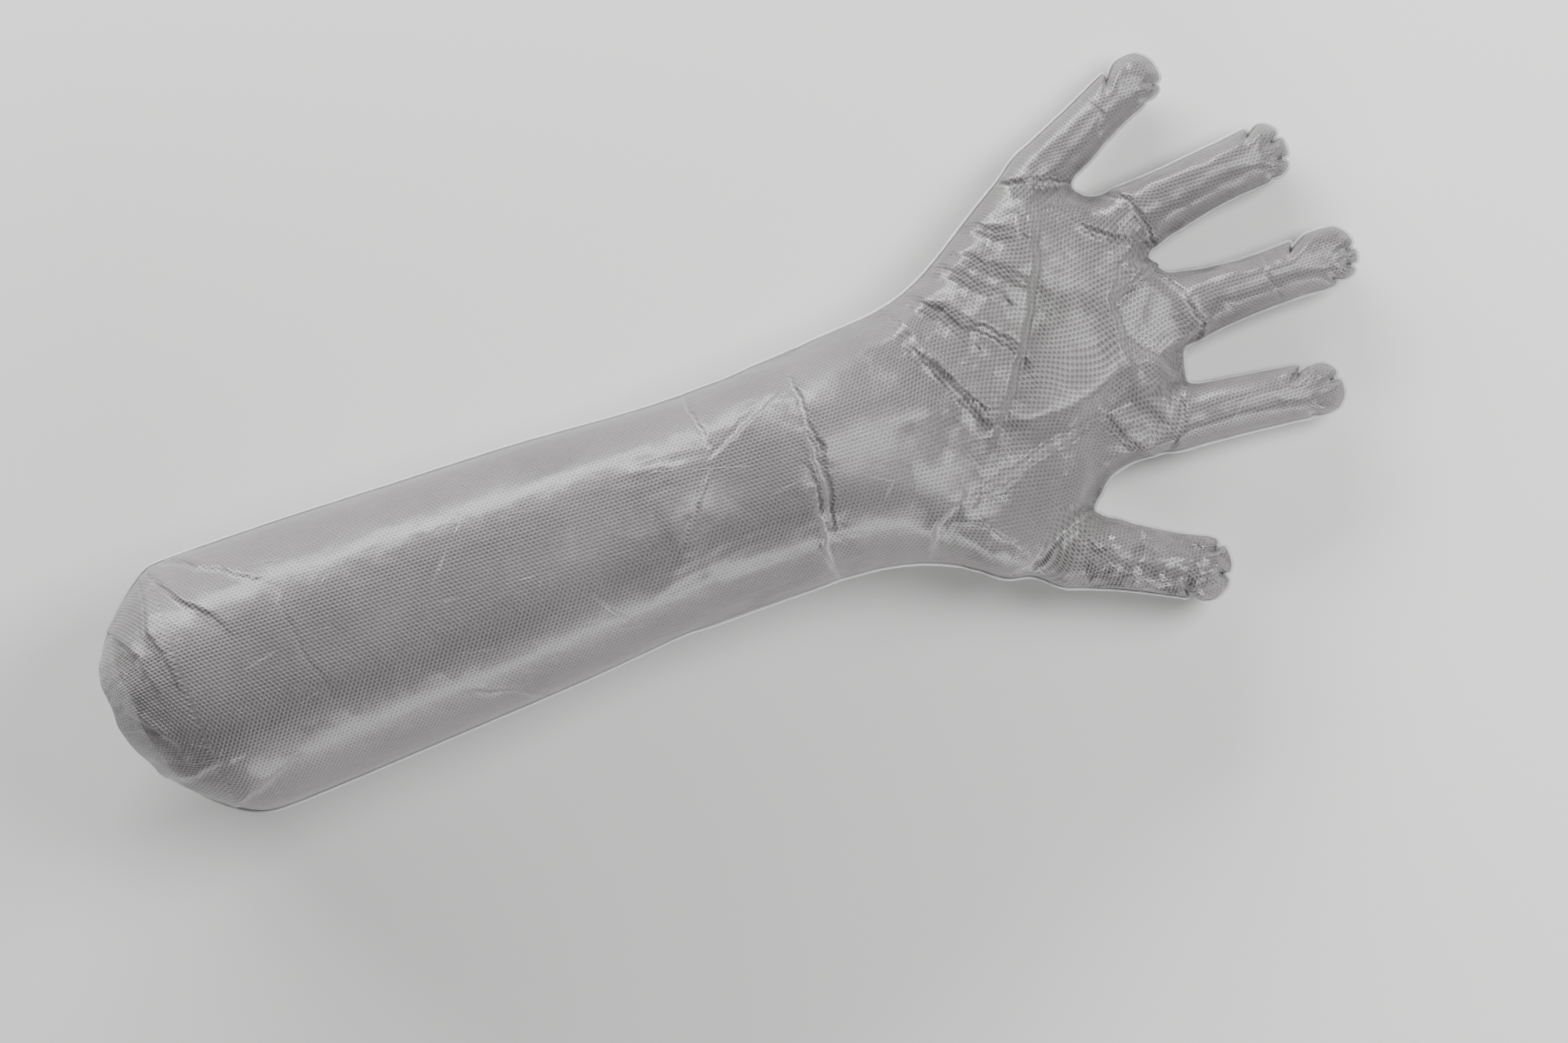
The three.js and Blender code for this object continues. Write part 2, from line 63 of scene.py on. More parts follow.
# share of the palm's length, reach on the little finger's side and on the thumb's, fall of height,
# puff, squareness
palmRows = [
    (0.0, 0.0, 0.0, 0.0, 1, 2.05),
    (0.03, 0.0, -0.01, 0.0, 1, 2.05), (0.06, 0.0, 0.0, 0.01, 1, 2.05), (0.09, 0.0, 0.02, 0.02, 1, 2.05),
    (0.125, 0.01, 0.04, 0.04, 1, 2.1), (0.17, 0.02, 0.09, 0.08, 1, 2.1), (0.22, 0.02, 0.17, 0.14, 1, 2.15),
    (0.27, 0.03, 0.29, 0.21, 1, 2.2), (0.32, 0.04, 0.46, 0.28, 1, 2.25), (0.36, 0.07, 0.7, 0.34, 1, 2.3),
    (0.4, 0.11, 0.92, 0.4, 1, 2.35), (0.44, 0.18, 1.0, 0.45, 1, 2.35), (0.49, 0.29, 0.96, 0.5, 1, 2.35),
    (0.54, 0.43, 0.76, 0.55, 1, 2.35), (0.59, 0.59, 0.58, 0.61, 1, 2.35), (0.64, 0.75, 0.42, 0.66, 1, 2.35),
    (0.69, 0.9, 0.03, 0.71, 1, 2.35), (0.735, 0.98, -0.06, 0.76, 1, 2.35), (0.78, 0.98, -0.05, 0.81, 1, 2.35),
    (0.825, 0.84, 0.04, 0.86, 1, 2.35), (0.875, 0.64, -0.06, 0.91, 1, 2.3), (0.91, 0.33, -0.4, 0.94, 1, 2.3),
    (0.945, 0.02, -0.78, 0.96, 0.96, 2.3), (0.972, -0.38, -1.36, 0.98, 0.85, 2.2),
    (1.0, -0.72, -1.92, 1.0, 0.6, 2.1),
]

# base along and across, turn in degrees, length, width, height, flare of the base, lean of the tip
fingers = {
    "little": (0.79, 0.93, 23, 0.88, 0.88, 0.9, 0, -0.05),
    "ring": (0.96, 0.56, 7.5, 0.95, 1.02, 1.02, 0.08, -0.04),
    "middle": (1, 0.06, 0.7, 1, 1, 1, 0.14, 0.02),
    "index": (0.89, -0.48, -8, 0.95, 0.9, 0.93, 0.08, 0.05),
    "thumb": (0.56, -0.93, -26, 0.87, 1.05, 1.04, 0.08, 0),
}

# share of the finger's length, of its width, of its height
fingerRows = [
    (-0.36, 0.3, 0.5), (-0.18, 0.66, 0.85), (0.0, 1.01, 1.06), (0.14, 1.01, 1.05), (0.32, 0.99, 1.02),
    (0.52, 0.96, 1.0), (0.68, 0.94, 0.97), (0.76, 0.95, 0.95), (0.83, 0.96, 0.9), (0.885, 0.93, 0.82),
    (0.93, 0.84, 0.7), (0.97, 0.64, 0.5), (1.0, 0.34, 0.16),
]

# height of the weld beyond the palm: share of the finger's length, share of its height
weldRows = [(0.5, 0.49), (1.0, 0.45)]


# a smooth curve through the rows of a table, read at many places at once
def curveThrough(rows, column, at):
    rows = np.asarray(rows, float)
    places, values = rows[:, 0], rows[:, column]
    steps = np.r_[places[:1], places, places[-1:]]
    levels = np.r_[values[:1], values, values[-1:]]
    slopes = (levels[2:] - levels[:-2]) / (steps[2:] - steps[:-2])
    at = np.clip(at, places[0], places[-1])
    i = np.clip(np.searchsorted(places, at, side="right") - 1, 0, len(places) - 2)
    run = places[i + 1] - places[i]
    t = (at - places[i]) / run
    ends = (2 * t**3 - 3 * t**2 + 1) * values[i] + (3 * t**2 - 2 * t**3) * values[i + 1]
    return ends + (t**3 - 2 * t**2 + t) * slopes[i] * run + (t**3 - t**2) * slopes[i + 1] * run


def smoothStep(low, high, value):
    t = np.clip((value - low) / (high - low), 0, 1)
    return t * t * (3 - 2 * t)


def mix(a, b, share):
    return a + (b - a) * share


def weldHeightRows():
    low, high, flat = glove["wristHeight"], glove["sleeveHeight"], glove["knuckleHeight"]
    back = reversed(sleeveRows[1:])
    rows = [(-at * glove["sleeveLength"], mix(low, high, swell) / 2) for at, swell in back]
    rows += [(row[0] * glove["palmLength"], mix(low, flat, row[3]) / 2) for row in palmRows]
    for along, share in weldRows:
        rows.append((glove["palmLength"] + along * glove["fingerLength"], share * glove["fingerHeight"]))
    return rows


weldLine = weldHeightRows()


def weldHeight(x):
    return curveThrough(weldLine, 1, x)


# half widths on the little finger's and the thumb's side, height and squareness of the sleeve and palm at x
def bodySize(x):
    x = np.asarray(x, float)
    back = np.clip(-x / glove["sleeveLength"], 0, 1)
    on = np.clip(x / glove["palmLength"], 0, 1)
    half = mix(glove["wristWidth"], glove["sleeveWidth"], curveThrough(sleeveRows, 1, back)) / 2
    wrist = glove["wristWidth"] / 2
    little = mix(wrist, glove["littleReach"], curveThrough(palmRows, 1, on))
    thumb = mix(wrist, glove["thumbReach"], curveThrough(palmRows, 2, on))
    little = np.where(x < 0, half, little)
    thumb = np.where(x < 0, half, thumb)
    puff = np.where(x < 0, 1, curveThrough(palmRows, 4, on))
    square = np.where(x < 0, glove["sleeveSquare"], curveThrough(palmRows, 5, on))
    return little, thumb, puff, square


def mouthSkew(back, angle):
    return glove["mouthSkew"] * np.cos(angle) * smoothStep(glove["skewStart"], 1, back)


def superPower(value, square):
    return np.sign(value) * np.abs(value) ** (2 / square)


# rings of the gathered mouth, the sleeve and the palm, from the rim to the knuckles
def bodyRings(steps):
    angle = np.linspace(0, 2 * math.pi, steps, endpoint=False)
    rings = []
    full = math.radians(glove["mouthTurn"])
    closing = 1 - glove["mouthWidth"] / glove["sleeveWidth"]
    halfSleeve = glove["sleeveWidth"] / 2 - glove["weldLip"]
    for share in np.linspace(1, 0, 14, endpoint=False):
        turn = share * full
        run = math.sin(turn) / math.sin(full)
        dome = (1 - math.cos(turn)) / (1 - math.cos(full))
        shrink = 1 - closing * mix(run, dome, glove["mouthRound"])
        over = np.abs(np.sin(angle)) ** glove["rimFullness"]
        pleat = glove["pleatDepth"] * share * over * (0.5 - 0.5 * np.cos(glove["pleats"] * angle))
        y = np.cos(angle) * halfSleeve * shrink
        z = np.sin(angle) * glove["sleeveHeight"] / 2 * shrink
        pull = 1 - pleat / np.hypot(y, z)
        x = -glove["sleeveLength"] - (glove["gatherLength"] + glove["mouthBow"] * over) * run
        rings.append(np.c_[x - mouthSkew(1, angle), y * pull, z * pull])
    stations = np.r_[np.linspace(-glove["sleeveLength"], 0, 66, endpoint=False),
                     np.linspace(0, glove["palmLength"], 62)]
    little, thumb, puff, square = bodySize(stations)
    for i, x in enumerate(stations):
        half = (little[i] + thumb[i]) / 2 - glove["weldLip"]
        y = (little[i] - thumb[i]) / 2 + superPower(np.cos(angle), square[i]) * half
        high = np.where(np.sin(angle) < 0, weldHeight(x) + glove["press"], weldHeight(x)) * puff[i]
        z = superPower(np.sin(angle), square[i]) * high
        back = max(-x / glove["sleeveLength"], 0)
        rings.append(np.c_[x - mouthSkew(back, angle), y, z])
    return rings


# axis, cross direction, base point and sizes of one finger
def fingerFrame(name):
    x, y, turn, long, wide, high, flare, lean = fingers[name]
    reach = glove["littleReach"] if y > 0 else glove["thumbReach"]
    base = np.array([x * glove["palmLength"], y * reach])
    turn = math.radians(turn)
    axis = np.array([math.cos(turn), math.sin(turn)])
    cross = np.array([-axis[1], axis[0]])
    return {
        "base": base, "axis": axis, "cross": cross, "long": long * glove["fingerLength"],
        "half": wide * glove["fingerWidth"] / 2 - glove["weldLip"], "rise": high * glove["fingerHeight"] / 2,
        "flare": flare, "lean": lean * glove["fingerWidth"],
    }


def fingerSize(finger, along):
    flare = 1 + finger["flare"] * np.clip(1 - along / 0.4, 0, 1) ** 2
    lean = finger["lean"] * np.clip((along - 0.5) / 0.4, 0, 1) ** 2
    half = finger["half"] * curveThrough(fingerRows, 1, along) * flare
    return half, finger["rise"] * curveThrough(fingerRows, 2, along), lean


def fingerRings(name, steps):
    finger = fingerFrame(name)
    angle = np.linspace(0, 2 * math.pi, steps, endpoint=False)
    rings = []
    for along in np.r_[np.linspace(-0.36, 0.8, 34, endpoint=False), np.linspace(0.8, 1, 12)]:
        half, rise, lean = fingerSize(finger, along)
        across = superPower(np.cos(angle), glove["fingerSquare"]) * half + lean
        place = finger["base"] + finger["axis"] * along * finger["long"] + across[:, None] * finger["cross"]
        rings.append(np.c_[place, superPower(np.sin(angle), glove["fingerSquare"]) * rise])
    return rings


def closedLoft(rings):
    count = len(rings[0])
    points = [point for ring in rings for point in ring]
    faces = []
    for i in range(len(rings) - 1):
        for j in range(count):
            k = (j + 1) % count
            faces.append((i * count + j, (i + 1) * count + j, (i + 1) * count + k, i * count + k))
    faces.append(tuple(range(count)))
    faces.append(tuple(range((len(rings) - 1) * count, len(rings) * count))[::-1])
    return points, faces


def meshFrom(name, points, faces):
    mesh = bpy.data.meshes.new(name)
    mesh.from_pydata([tuple(point) for point in np.asarray(points) * milli], [], faces)
    mesh.update()
    return mesh


def readPoints(mesh):
    flat = np.empty(len(mesh.vertices) * 3)
    mesh.vertices.foreach_get("co", flat)
    return flat.reshape(-1, 3) / milli


def writePoints(mesh, points):
    mesh.vertices.foreach_set("co", (np.asarray(points) * milli).ravel())
    mesh.update()


def addObject(name, mesh):
    obj = bpy.data.objects.new(name, mesh)
    scene.collection.objects.link(obj)
    return obj


def evaluatedMesh(obj):
    graph = bpy.context.evaluated_depsgraph_get()
    return bpy.data.meshes.new_from_object(obj.evaluated_get(graph), depsgraph=graph)


def edgesOf(mesh):
    pairs = np.empty(len(mesh.edges) * 2, int)
    mesh.edges.foreach_get("vertices", pairs)
    return pairs.reshape(-1, 2)


# evens the points out along the edges, without the form getting smaller
def relax(mesh, rounds):
    points, pairs = readPoints(mesh), edgesOf(mesh)
    count = np.bincount(pairs.ravel(), minlength=len(points))[:, None]
    for i in range(rounds * 2):
        total = np.zeros_like(points)
        for axis in range(3):
            total[:, axis] = np.bincount(pairs[:, 0], points[pairs[:, 1], axis], len(points))
            total[:, axis] += np.bincount(pairs[:, 1], points[pairs[:, 0], axis], len(points))
        points = points + (0.55 if i % 2 == 0 else -0.56) * (total / count - points)
    writePoints(mesh, points)


# Middles of the round webs between the fingers, and how far round each the film is drawn smooth.
webs = [(166.1, 67.0, 13), (179.8, 30.6, 13), (174.7, -17.4, 14), (125.4, -54.1, 17)]


# draws the film smooth where share is above 0
def smoothen(mesh, share, rounds):
    points, pairs = readPoints(mesh), edgesOf(mesh)
    count = np.bincount(pairs.ravel(), minlength=len(points))[:, None]
    for i in range(rounds):
        total = np.zeros_like(points)
        for axis in range(3):
            total[:, axis] = np.bincount(pairs[:, 0], points[pairs[:, 1], axis], len(points))
            total[:, axis] += np.bincount(pairs[:, 1], points[pairs[:, 0], axis], len(points))
        points = points + 0.5 * share[:, None] * (total / count - points)
    writePoints(mesh, points)


def webShare(points):
    share = np.zeros(len(points))
    for x, y, reach in webs:
        away = np.hypot(points[:, 0] - x, points[:, 1] - y)
        share = np.maximum(share, smoothStep(reach, reach * 0.45, away))
    return share


# the upper film where the palm steps down to a finger
def baseShare(points):
    share = np.zeros(len(points))
    for name in fingers:
        finger = fingerFrame(name)
        offset = points[:, :2] - finger["base"]
        along, across = offset @ finger["axis"], offset @ finger["cross"]
        near = smoothStep(20, 6, np.abs(along - 4)) * smoothStep(1.3, 1.0, np.abs(across) / finger["half"])
        share = np.maximum(share, near * smoothStep(1, 7, points[:, 2]))
    return share


def shoulderShare(points):
    near = smoothStep(18, 7, np.abs(points[:, 0] + glove["sleeveLength"] + 4))
    return near * smoothStep(58, 46, points[:, 1])


film = {
    "voxel": 2.55,          # millimetres between points before the last subdivision
    "webRounds": 24, "baseRounds": 30, "shoulderRounds": 26,  # how smooth the film is drawn there
    "frames": 16, "pressure": 2.2, "slack": -0.03, "weldPull": 0.07, "weldBand": 5, "cap": 2.6,
}


# sleeve, palm and fingers as one closed skin of even squares
def puffedForm():
    points, faces = closedLoft(bodyRings(112))
    for name in fingers:
        more, moreFaces = closedLoft(fingerRings(name, 48))
        faces += [tuple(i + len(points) for i in face) for face in moreFaces]
        points += more
    obj = addObject("puffedForm", meshFrom("puffedForm", points, faces))
    remesh = obj.modifiers.new("evenSquares", "REMESH")
    remesh.mode = "VOXEL"
    remesh.voxel_size = film["voxel"] * milli
    mesh = evaluatedMesh(obj)
    bpy.data.objects.remove(obj)
    relax(mesh, 7)
    points = readPoints(mesh)
    smoothen(mesh, webShare(points), film["webRounds"])
    smoothen(mesh, baseShare(points), film["baseRounds"])
    smoothen(mesh, shoulderShare(points), film["shoulderRounds"])
    return mesh


# air blown into the bag: the weld holds the film short, so the film puckers along it
def blowUp(mesh):
    before = readPoints(mesh)
    obj = addObject("blownBag", mesh)
    weld = obj.vertex_groups.new(name="weld")
    away = np.abs(before[:, 2])
    for i in np.flatnonzero(away < film["weldBand"]):
        weld.add([int(i)], 1 - away[i] / film["weldBand"], "REPLACE")
    cloth = obj.modifiers.new("air", "CLOTH")
    settings = cloth.settings
    settings.quality = 4
    settings.mass = 0.08
    settings.tension_stiffness = 25
    settings.compression_stiffness = 12
    settings.shear_stiffness = 8
    settings.bending_stiffness = 0.02
    settings.tension_damping = 8
    settings.compression_damping = 8
    settings.air_damping = 4
    settings.use_pressure = True
    settings.uniform_pressure_force = film["pressure"]
    settings.vertex_group_shrink = "weld"
    settings.shrink_min = film["slack"]
    settings.shrink_max = film["weldPull"]
    settings.effector_weights.gravity = 0
    cloth.collision_settings.use_collision = False
    cloth.collision_settings.use_self_collision = False
    cloth.point_cache.frame_start = 1
    cloth.point_cache.frame_end = film["frames"]
    for number in range(1, film["frames"] + 1):
        scene.frame_set(number)
    blown = evaluatedMesh(obj)
    bpy.data.objects.remove(obj)
    scene.frame_set(1)
    move = readPoints(blown) - before
    far = np.linalg.norm(move, axis=1)[:, None]
    print("air moved the film by", round(float(far.mean()), 2), "mm, at most", round(float(far.max()), 2))
    move *= film["cap"] * np.tanh(far / film["cap"]) / np.maximum(far, 1e-6)
    writePoints(blown, before + move)
    return blown


# cuts the mesh where a field of the points passes zero, and keeps the side where it is positive
def cutWhere(mesh, field):
    bm = bmesh.new()
    bm.from_mesh(mesh)
    for name in ("placeX", "placeY", "placeZ"):
        bm.verts.layers.float.new(name)
    layers = [bm.verts.layers.float[name] for name in ("placeX", "placeY", "placeZ")]
    for vert, value in zip(bm.verts, field):
        for layer, number in zip(layers, vert.co):
            vert[layer] = number
        vert.co.x = value * milli
    geom = bm.verts[:] + bm.edges[:] + bm.faces[:]
    bmesh.ops.bisect_plane(bm, geom=geom, dist=1e-7, plane_co=(0, 0, 0), plane_no=(1, 0, 0), clear_inner=True)
    for vert in bm.verts:
        vert.co = [vert[layer] for layer in layers]
    for name in ("placeX", "placeY", "placeZ"):
        bm.verts.layers.float.remove(bm.verts.layers.float[name])
    bmesh.ops.remove_doubles(bm, verts=bm.verts, dist=0.15 * milli)
    result = bpy.data.meshes.new(mesh.name)
    bm.to_mesh(result)
    bm.free()
    return result


# how far out a point of the mouth's dome is, as a share of the sleeve's own section, less the share of
# the open rim
def mouthField(points):
    half = glove["sleeveWidth"] / 2 - glove["weldLip"]
    out = np.hypot(points[:, 1] / half, points[:, 2] / (glove["sleeveHeight"] / 2))
    rim = glove["mouthWidth"] / glove["sleeveWidth"]
    return np.where(points[:, 0] < -glove["sleeveLength"] - 6, (out - rim) * half, half)


def subdivided(mesh):
    obj = addObject("finerFilm", mesh)
    finer = obj.modifiers.new("finer", "SUBSURF")
    finer.levels = 1
    finer.render_levels = 1
    result = evaluatedMesh(obj)
    bpy.data.objects.remove(obj)
    return result


# where each point of the puffed film lay in the flat sheet, in millimetres
def flatPattern(points):
    x, y, z = points.T
    little, thumb, puff, square = bodySize(x)
    half = (little + thumb) / 2 - glove["weldLip"]
    middle = (little - thumb) / 2
    rise = weldHeight(x) * puff
    angle = np.arctan2(np.abs(z) / rise, (y - middle) / half)
    quarter = math.pi / 4 * (half + rise)
    out = np.hypot((y - middle) / half, z / rise)
    beyond = np.clip(-glove["sleeveLength"] - x, 0, None)
    u = np.where(beyond > 0, -glove["sleeveLength"] - np.hypot(beyond, np.clip(1 - out, 0, 1) * half), x)
    flat = np.c_[u, middle + quarter * (1 - angle / (math.pi / 2))]
    for name in fingers:
        finger = fingerFrame(name)
        offset = points[:, :2] - finger["base"]
        along, across = offset @ finger["axis"], offset @ finger["cross"]
        half, rise, lean = fingerSize(finger, along / finger["long"])
        angle = np.arctan2(np.abs(z) / rise, (across - lean) / half)
        arc = math.pi / 4 * (half + rise) * (1 - angle / (math.pi / 2))
        root = flatRoot(finger)
        own = root + along[:, None] * finger["axis"] + arc[:, None] * finger["cross"]
        share = smoothStep(-24, 18, along) * smoothStep(1.5, 1.15, np.abs(across) / finger["half"])
        flat = mix(flat, own, share[:, None])
    return flat


def flatRoot(finger):
    x, y = finger["base"]
    little, thumb, puff, square = bodySize(x)
    half, middle = (little + thumb) / 2 - glove["weldLip"], (little - thumb) / 2
    quarter = math.pi / 4 * (half + weldHeight(x))
    angle = math.atan2(finger["rise"] / weldHeight(x), (y - middle) / half)
    return np.array([x, middle + quarter * (1 - angle / (math.pi / 2))])


# Creases pressed into the upper film: points along and across the glove, depth, reach to each side, how far
# the film to the left of the line stands over the rest, over what width that fades, crumpling beside it.
creases = [
    (((15.9, 36.4), (16, 21.8), (16.8, 3)), 1.5, 1.9, 1.1, 6, 0.25),
    (((13.7, 13), (14.6, -3), (12.6, -18)), 1.9, 1.5, -0.9, 4, 0.3),
    (((10.4, -2), (8.6, -19)), 1.4, 1.4, 0.8, 3, 0.3),
    (((17.4, 7), (14.7, -12), (10.6, -29)), 1.9, 1.6, 0.6, 5, 0.25),
    (((8.8, -16), (6.5, -35), (5.3, -52)), 1.4, 2.0, -0.9, 7, 0.2),
    (((3.2, -35), (5.0, -50)), 0.9, 1.7, 0.6, 4, 0.2),
    (((140.2, 72.1), (132.1, 48.4), (118.4, 21.5), (102.2, -0.9), (92.9, -11.7)), 0.5, 2.2, -2.4, 11, 0.1),
    (((124.8, 86), (136.3, 80.6), (151.1, 77.6), (163.2, 68.8)), 1.1, 2.4, 1.2, 6, 0.15),
    (((166.4, 66.2), (177.7, 58.1), (182, 45.8), (181, 33.7)), 1.1, 2.4, 1.4, 6, 0.15),
    (((179.6, 25.3), (185.5, 12.4), (189.8, -1.7), (179.9, -12.9)), 1.0, 2.4, 1.0, 6, 0.12),
    (((173.3, -22.2), (167.7, -36.1), (161.7, -44.5), (151, -51.2)), 0.8, 2.4, 0.7, 6, 0.1),
    (((123.3, -58.7), (107.4, -63.3), (90.2, -71.2), (74, -74)), 0.8, 2.4, 0.8, 8, 0.15),
    (((178.7, 27.4), (166, 23), (156.8, 21.4), (156, 14.5), (154.9, -2.8)), 0.6, 2.2, -2.0, 9, 0.2),
    (((63.9, 49), (71.4, 21.3), (81.9, 6.7)), 0.2, 3.0, 1.7, 10, 0.15),
    (((72.5, 52.9), (85.8, 40.8), (93.6, 23.6)), 0.1, 3.4, 1.5, 9, 0.15),
    (((88.9, 39.6), (103, 25), (109.2, 17.8), (111.2, 13.5)), 0.1, 3.0, 1.5, 9, 0.15),
    (((88, 62), (101, 51), (112, 38)), 0.1, 3.2, 1.3, 8, 0.15),
    (((103.3, 59.2), (124.8, 40.4)), 0.1, 3.0, 1.4, 8, 0.15),
    (((111.1, 70.5), (128.7, 60.3)), 0.1, 3.0, 1.2, 7, 0.15),
    (((72.5, 24.4), (79, 8), (84.7, -5)), 1.0, 2.2, 2.2, 6, 0.4),
    (((82, 2), (88, -4), (95, -8)), 1.4, 2.0, 1.4, 5, 0.6),
    (((78.8, -34.9), (109.7, -28.6), (136.2, -24.3)), 0.4, 2.6, -1.5, 10, 0.2),
    (((136.2, -24.3), (142, -40), (150, -50)), 0.5, 2.4, 1.4, 8, 0.2),
    (((151, 60), (163, 47), (176, 40)), 0.4, 2.4, 1.1, 7, 0.1),
    (((158, 2), (168, -12), (172, -20)), 0.4, 2.4, -1.2, 7, 0.1),
    (((156.8, 21.4), (166, 34), (176, 38)), 0.4, 2.4, 1.2, 7, 0.1),
    (((73.4, -40), (84, -38.5), (93.1, -34.9)), 1.2, 2.4, 1.2, 5, 0.3),
    (((47.6, -51.7), (54, -44), (61.3, -39)), 1.2, 2.4, 1.2, 6, 0.2),
    (((60, -46), (72, -52), (80, -62)), 0.8, 2.4, 1.2, 6, 0.2),
    (((-153.8, -40.4), (-140, -46), (-127.3, -53.2)), 1.0, 1.8, 0.4, 4, 0.1),
    (((-29.5, 46.5), (-28, 34), (-26.2, 22.2)), 0.8, 1.8, 0.5, 5, 0.1),
    (((8.6, 34.1), (-8, 27), (-24.2, 17.9)), 0.8, 1.8, 0.5, 5, 0.1),
    (((-29.7, 12.8), (-40, 0), (-52.3, -14.3)), 0.7, 1.8, 0.5, 5, 0.1),
    (((-92, -20), (-84, -34)), 0.6, 1.6, 0.3, 4, 0.1),
    (((-215, 40), (-214, 10), (-207, -24)), 0.3, 1.6, 0.2, 4, 0.0),
    (((-264, 59), (-246, 50), (-224, 37)), 0.7, 2.2, 0.8, 6, 0.1),
    (((-267, 56), (-256, 40), (-240, 22)), 0.7, 2.2, 0.9, 6, 0.1),
    (((-270, 50), (-272, 30), (-266, 8)), 0.8, 2.4, 1.0, 6, 0.2),
    (((-288, 34), (-280, 22), (-276, 6)), 0.8, 2.4, 1.0, 5, 0.2),
    (((-292, 4), (-284, -6), (-276, -20)), 1.0, 2.4, 1.2, 5, 0.3),
    (((-286, -30), (-274, -34), (-260, -32)), 0.8, 2.4, 1.0, 6, 0.2),
    (((-268, -53), (-252, -48), (-232, -40)), 0.7, 2.2, 0.7, 6, 0.1),
    (((225, 24), (223, 8), (226, -6)), 0.5, 1.6, 0.3, 4, 0.1),
    (((174, 108), (180, 97), (177, 88)), 0.6, 1.6, 0.4, 4, 0.1),
]

# Flat places where the film is drawn tight: middle along and across, how far round it, how deep under
# the round form, and how much more it slopes along and across.
facets = [
    (121, 4, 46, 3.0, 0.0, 0.02), (103, 46, 28, 1.8, 0.06, -0.06), (146, 48, 26, 1.6, -0.04, 0.05),
    (164, 4, 24, 1.8, -0.1, -0.02), (146, -34, 26, 1.8, -0.02, -0.1), (106, -44, 32, 2.2, 0.05, 0.04),
    (162, 30, 18, 1.2, -0.08, 0.06), (72, -24, 34, 1.6, 0.0, 0.02), (60, 30, 34, 1.2, 0.02, 0.0),
    (150, 66, 18, 1.0, 0.02, 0.08), (88, -62, 22, 1.6, 0.04, -0.05),
]

# Notches of the weld round the fingertips: share of the length, side, depth, length of the crease.
notches = {
    "little": [(0.765, 1, 6.0, 15), (0.95, -1, 4.4, 14), (0.82, -1, 2.6, 8)],
    "ring": [(0.865, 1, 5.0, 14), (0.97, 0.42, 4.6, 14), (0.955, -0.72, 4.2, 12), (0.85, -1, 2.4, 8)],
    "middle": [(0.74, 1, 6.4, 17), (0.985, -0.1, 3.6, 14), (0.955, -0.85, 3.6, 11), (0.865, -1, 4.0, 10)],
    "index": [(0.79, 1, 5.6, 14), (0.97, 0.5, 4.2, 14), (0.81, -1, 2.6, 8)],
    "thumb": [(0.93, 1, 5.0, 13), (0.99, -0.45, 4.0, 12), (0.765, -1, 5.6, 13)],
}


# distance to a line of points, share of it before the nearest place, and 1 to its left or -1 to its right
def awayFromLine(places, line):
    best = np.full(len(places), 1e9)
    share, left = np.zeros(len(places)), np.ones(len(places))
    line = np.asarray(line, float)
    lengths = np.linalg.norm(np.diff(line, axis=0), axis=1)
    start = 0
    for a, b, length in zip(line[:-1], line[1:], lengths):
        run = b - a
        offset = places - a
        t = np.clip(offset @ run / length**2, 0, 1)
        away = np.linalg.norm(offset - t[:, None] * run, axis=1)
        nearer = away < best
        best = np.where(nearer, away, best)
        share = np.where(nearer, (start + t * length) / lengths.sum(), share)
        left = np.where(nearer, np.sign(run[0] * offset[:, 1] - run[1] * offset[:, 0]), left)
        start += length
    return best, share, left


# sharp valleys with small ridges, one side standing over the other; also where the fold lines are
def creaseRelief(places, small):
    lift, line, rough = (np.zeros(len(places)) for i in range(3))
    x, y = places.T
    wander = np.c_[np.sin(y * 0.31 + x * 0.17), np.cos(x * 0.27 - y * 0.2)]
    wander += 0.4 * np.c_[np.sin(y * 0.83), np.cos(x * 0.9)]
    for path, deep, reach, over, spread, crumpled in creases:
        away, share, left = awayFromLine(places + 0.6 * wander, path)
        fade = np.sin(math.pi * np.clip(share * 0.86 + 0.07, 0, 1)) ** 0.6
        t = away / reach
        valley = np.clip(1 - t, 0, 1) ** 1.15 - 0.12 * np.exp(-((t - 1.3) / 0.5) ** 2)
        stand = left * over * smoothStep(0, 1.1 * reach, away) * np.exp(-(away / spread) ** 2)
        lift += fade * (stand - deep * valley)
        line = np.maximum(line, fade * np.clip(1 - away / 1.1, 0, 1) * min(deep / 2.4, 1))
        rough = np.maximum(rough, crumpled * fade * np.exp(-(away / (1.6 * reach)) ** 2))
    return lift + rough * small, line


# cuts the round form flat: nothing stands above the plane of each flat place
def drawTight(points, normals):
    height = points[:, 2].copy()
    for x, y, reach, deep, slopeX, slopeY in facets:
        away = np.hypot(points[:, 0] - x, points[:, 1] - y)
        middle = int(np.argmin(away))
        slope = -normals[middle, :2] / normals[middle, 2] + (slopeX, slopeY)
        plane = points[middle, 2] - deep + (points[:, :2] - points[middle, :2]) @ slope
        over = 0.5 * (height - plane + np.sqrt((height - plane) ** 2 + 0.12))
        height -= over * smoothStep(reach, 0.3 * reach, away)
    return height


# splits the squares where the film has fine folds
def refineFolds(mesh, side):
    points = readPoints(mesh)
    fine = np.zeros(len(points), bool)
    for name in fingers:
        finger = fingerFrame(name)
        offset = points[:, :2] - finger["base"]
        along, across = offset @ finger["axis"] / finger["long"], offset @ finger["cross"]
        start = 0.05 if name == "thumb" and side > 0 else 0.6
        fine |= (along > start) & (np.abs(across) < 1.5 * finger["half"])
    if side > 0:
        for path, deep, reach, over, spread, crumpled in creases:
            away = awayFromLine(points[:, :2], path)[0]
            fine |= away < (reach + 1.5 if deep + abs(over) > 1.2 else 2)
    bm = bmesh.new()
    bm.from_mesh(mesh)
    edges = [edge for edge in bm.edges if fine[edge.verts[0].index] and fine[edge.verts[1].index]]
    bmesh.ops.subdivide_edges(bm, edges=edges, cuts=1, use_grid_fill=True)
    bm.to_mesh(mesh)
    bm.free()


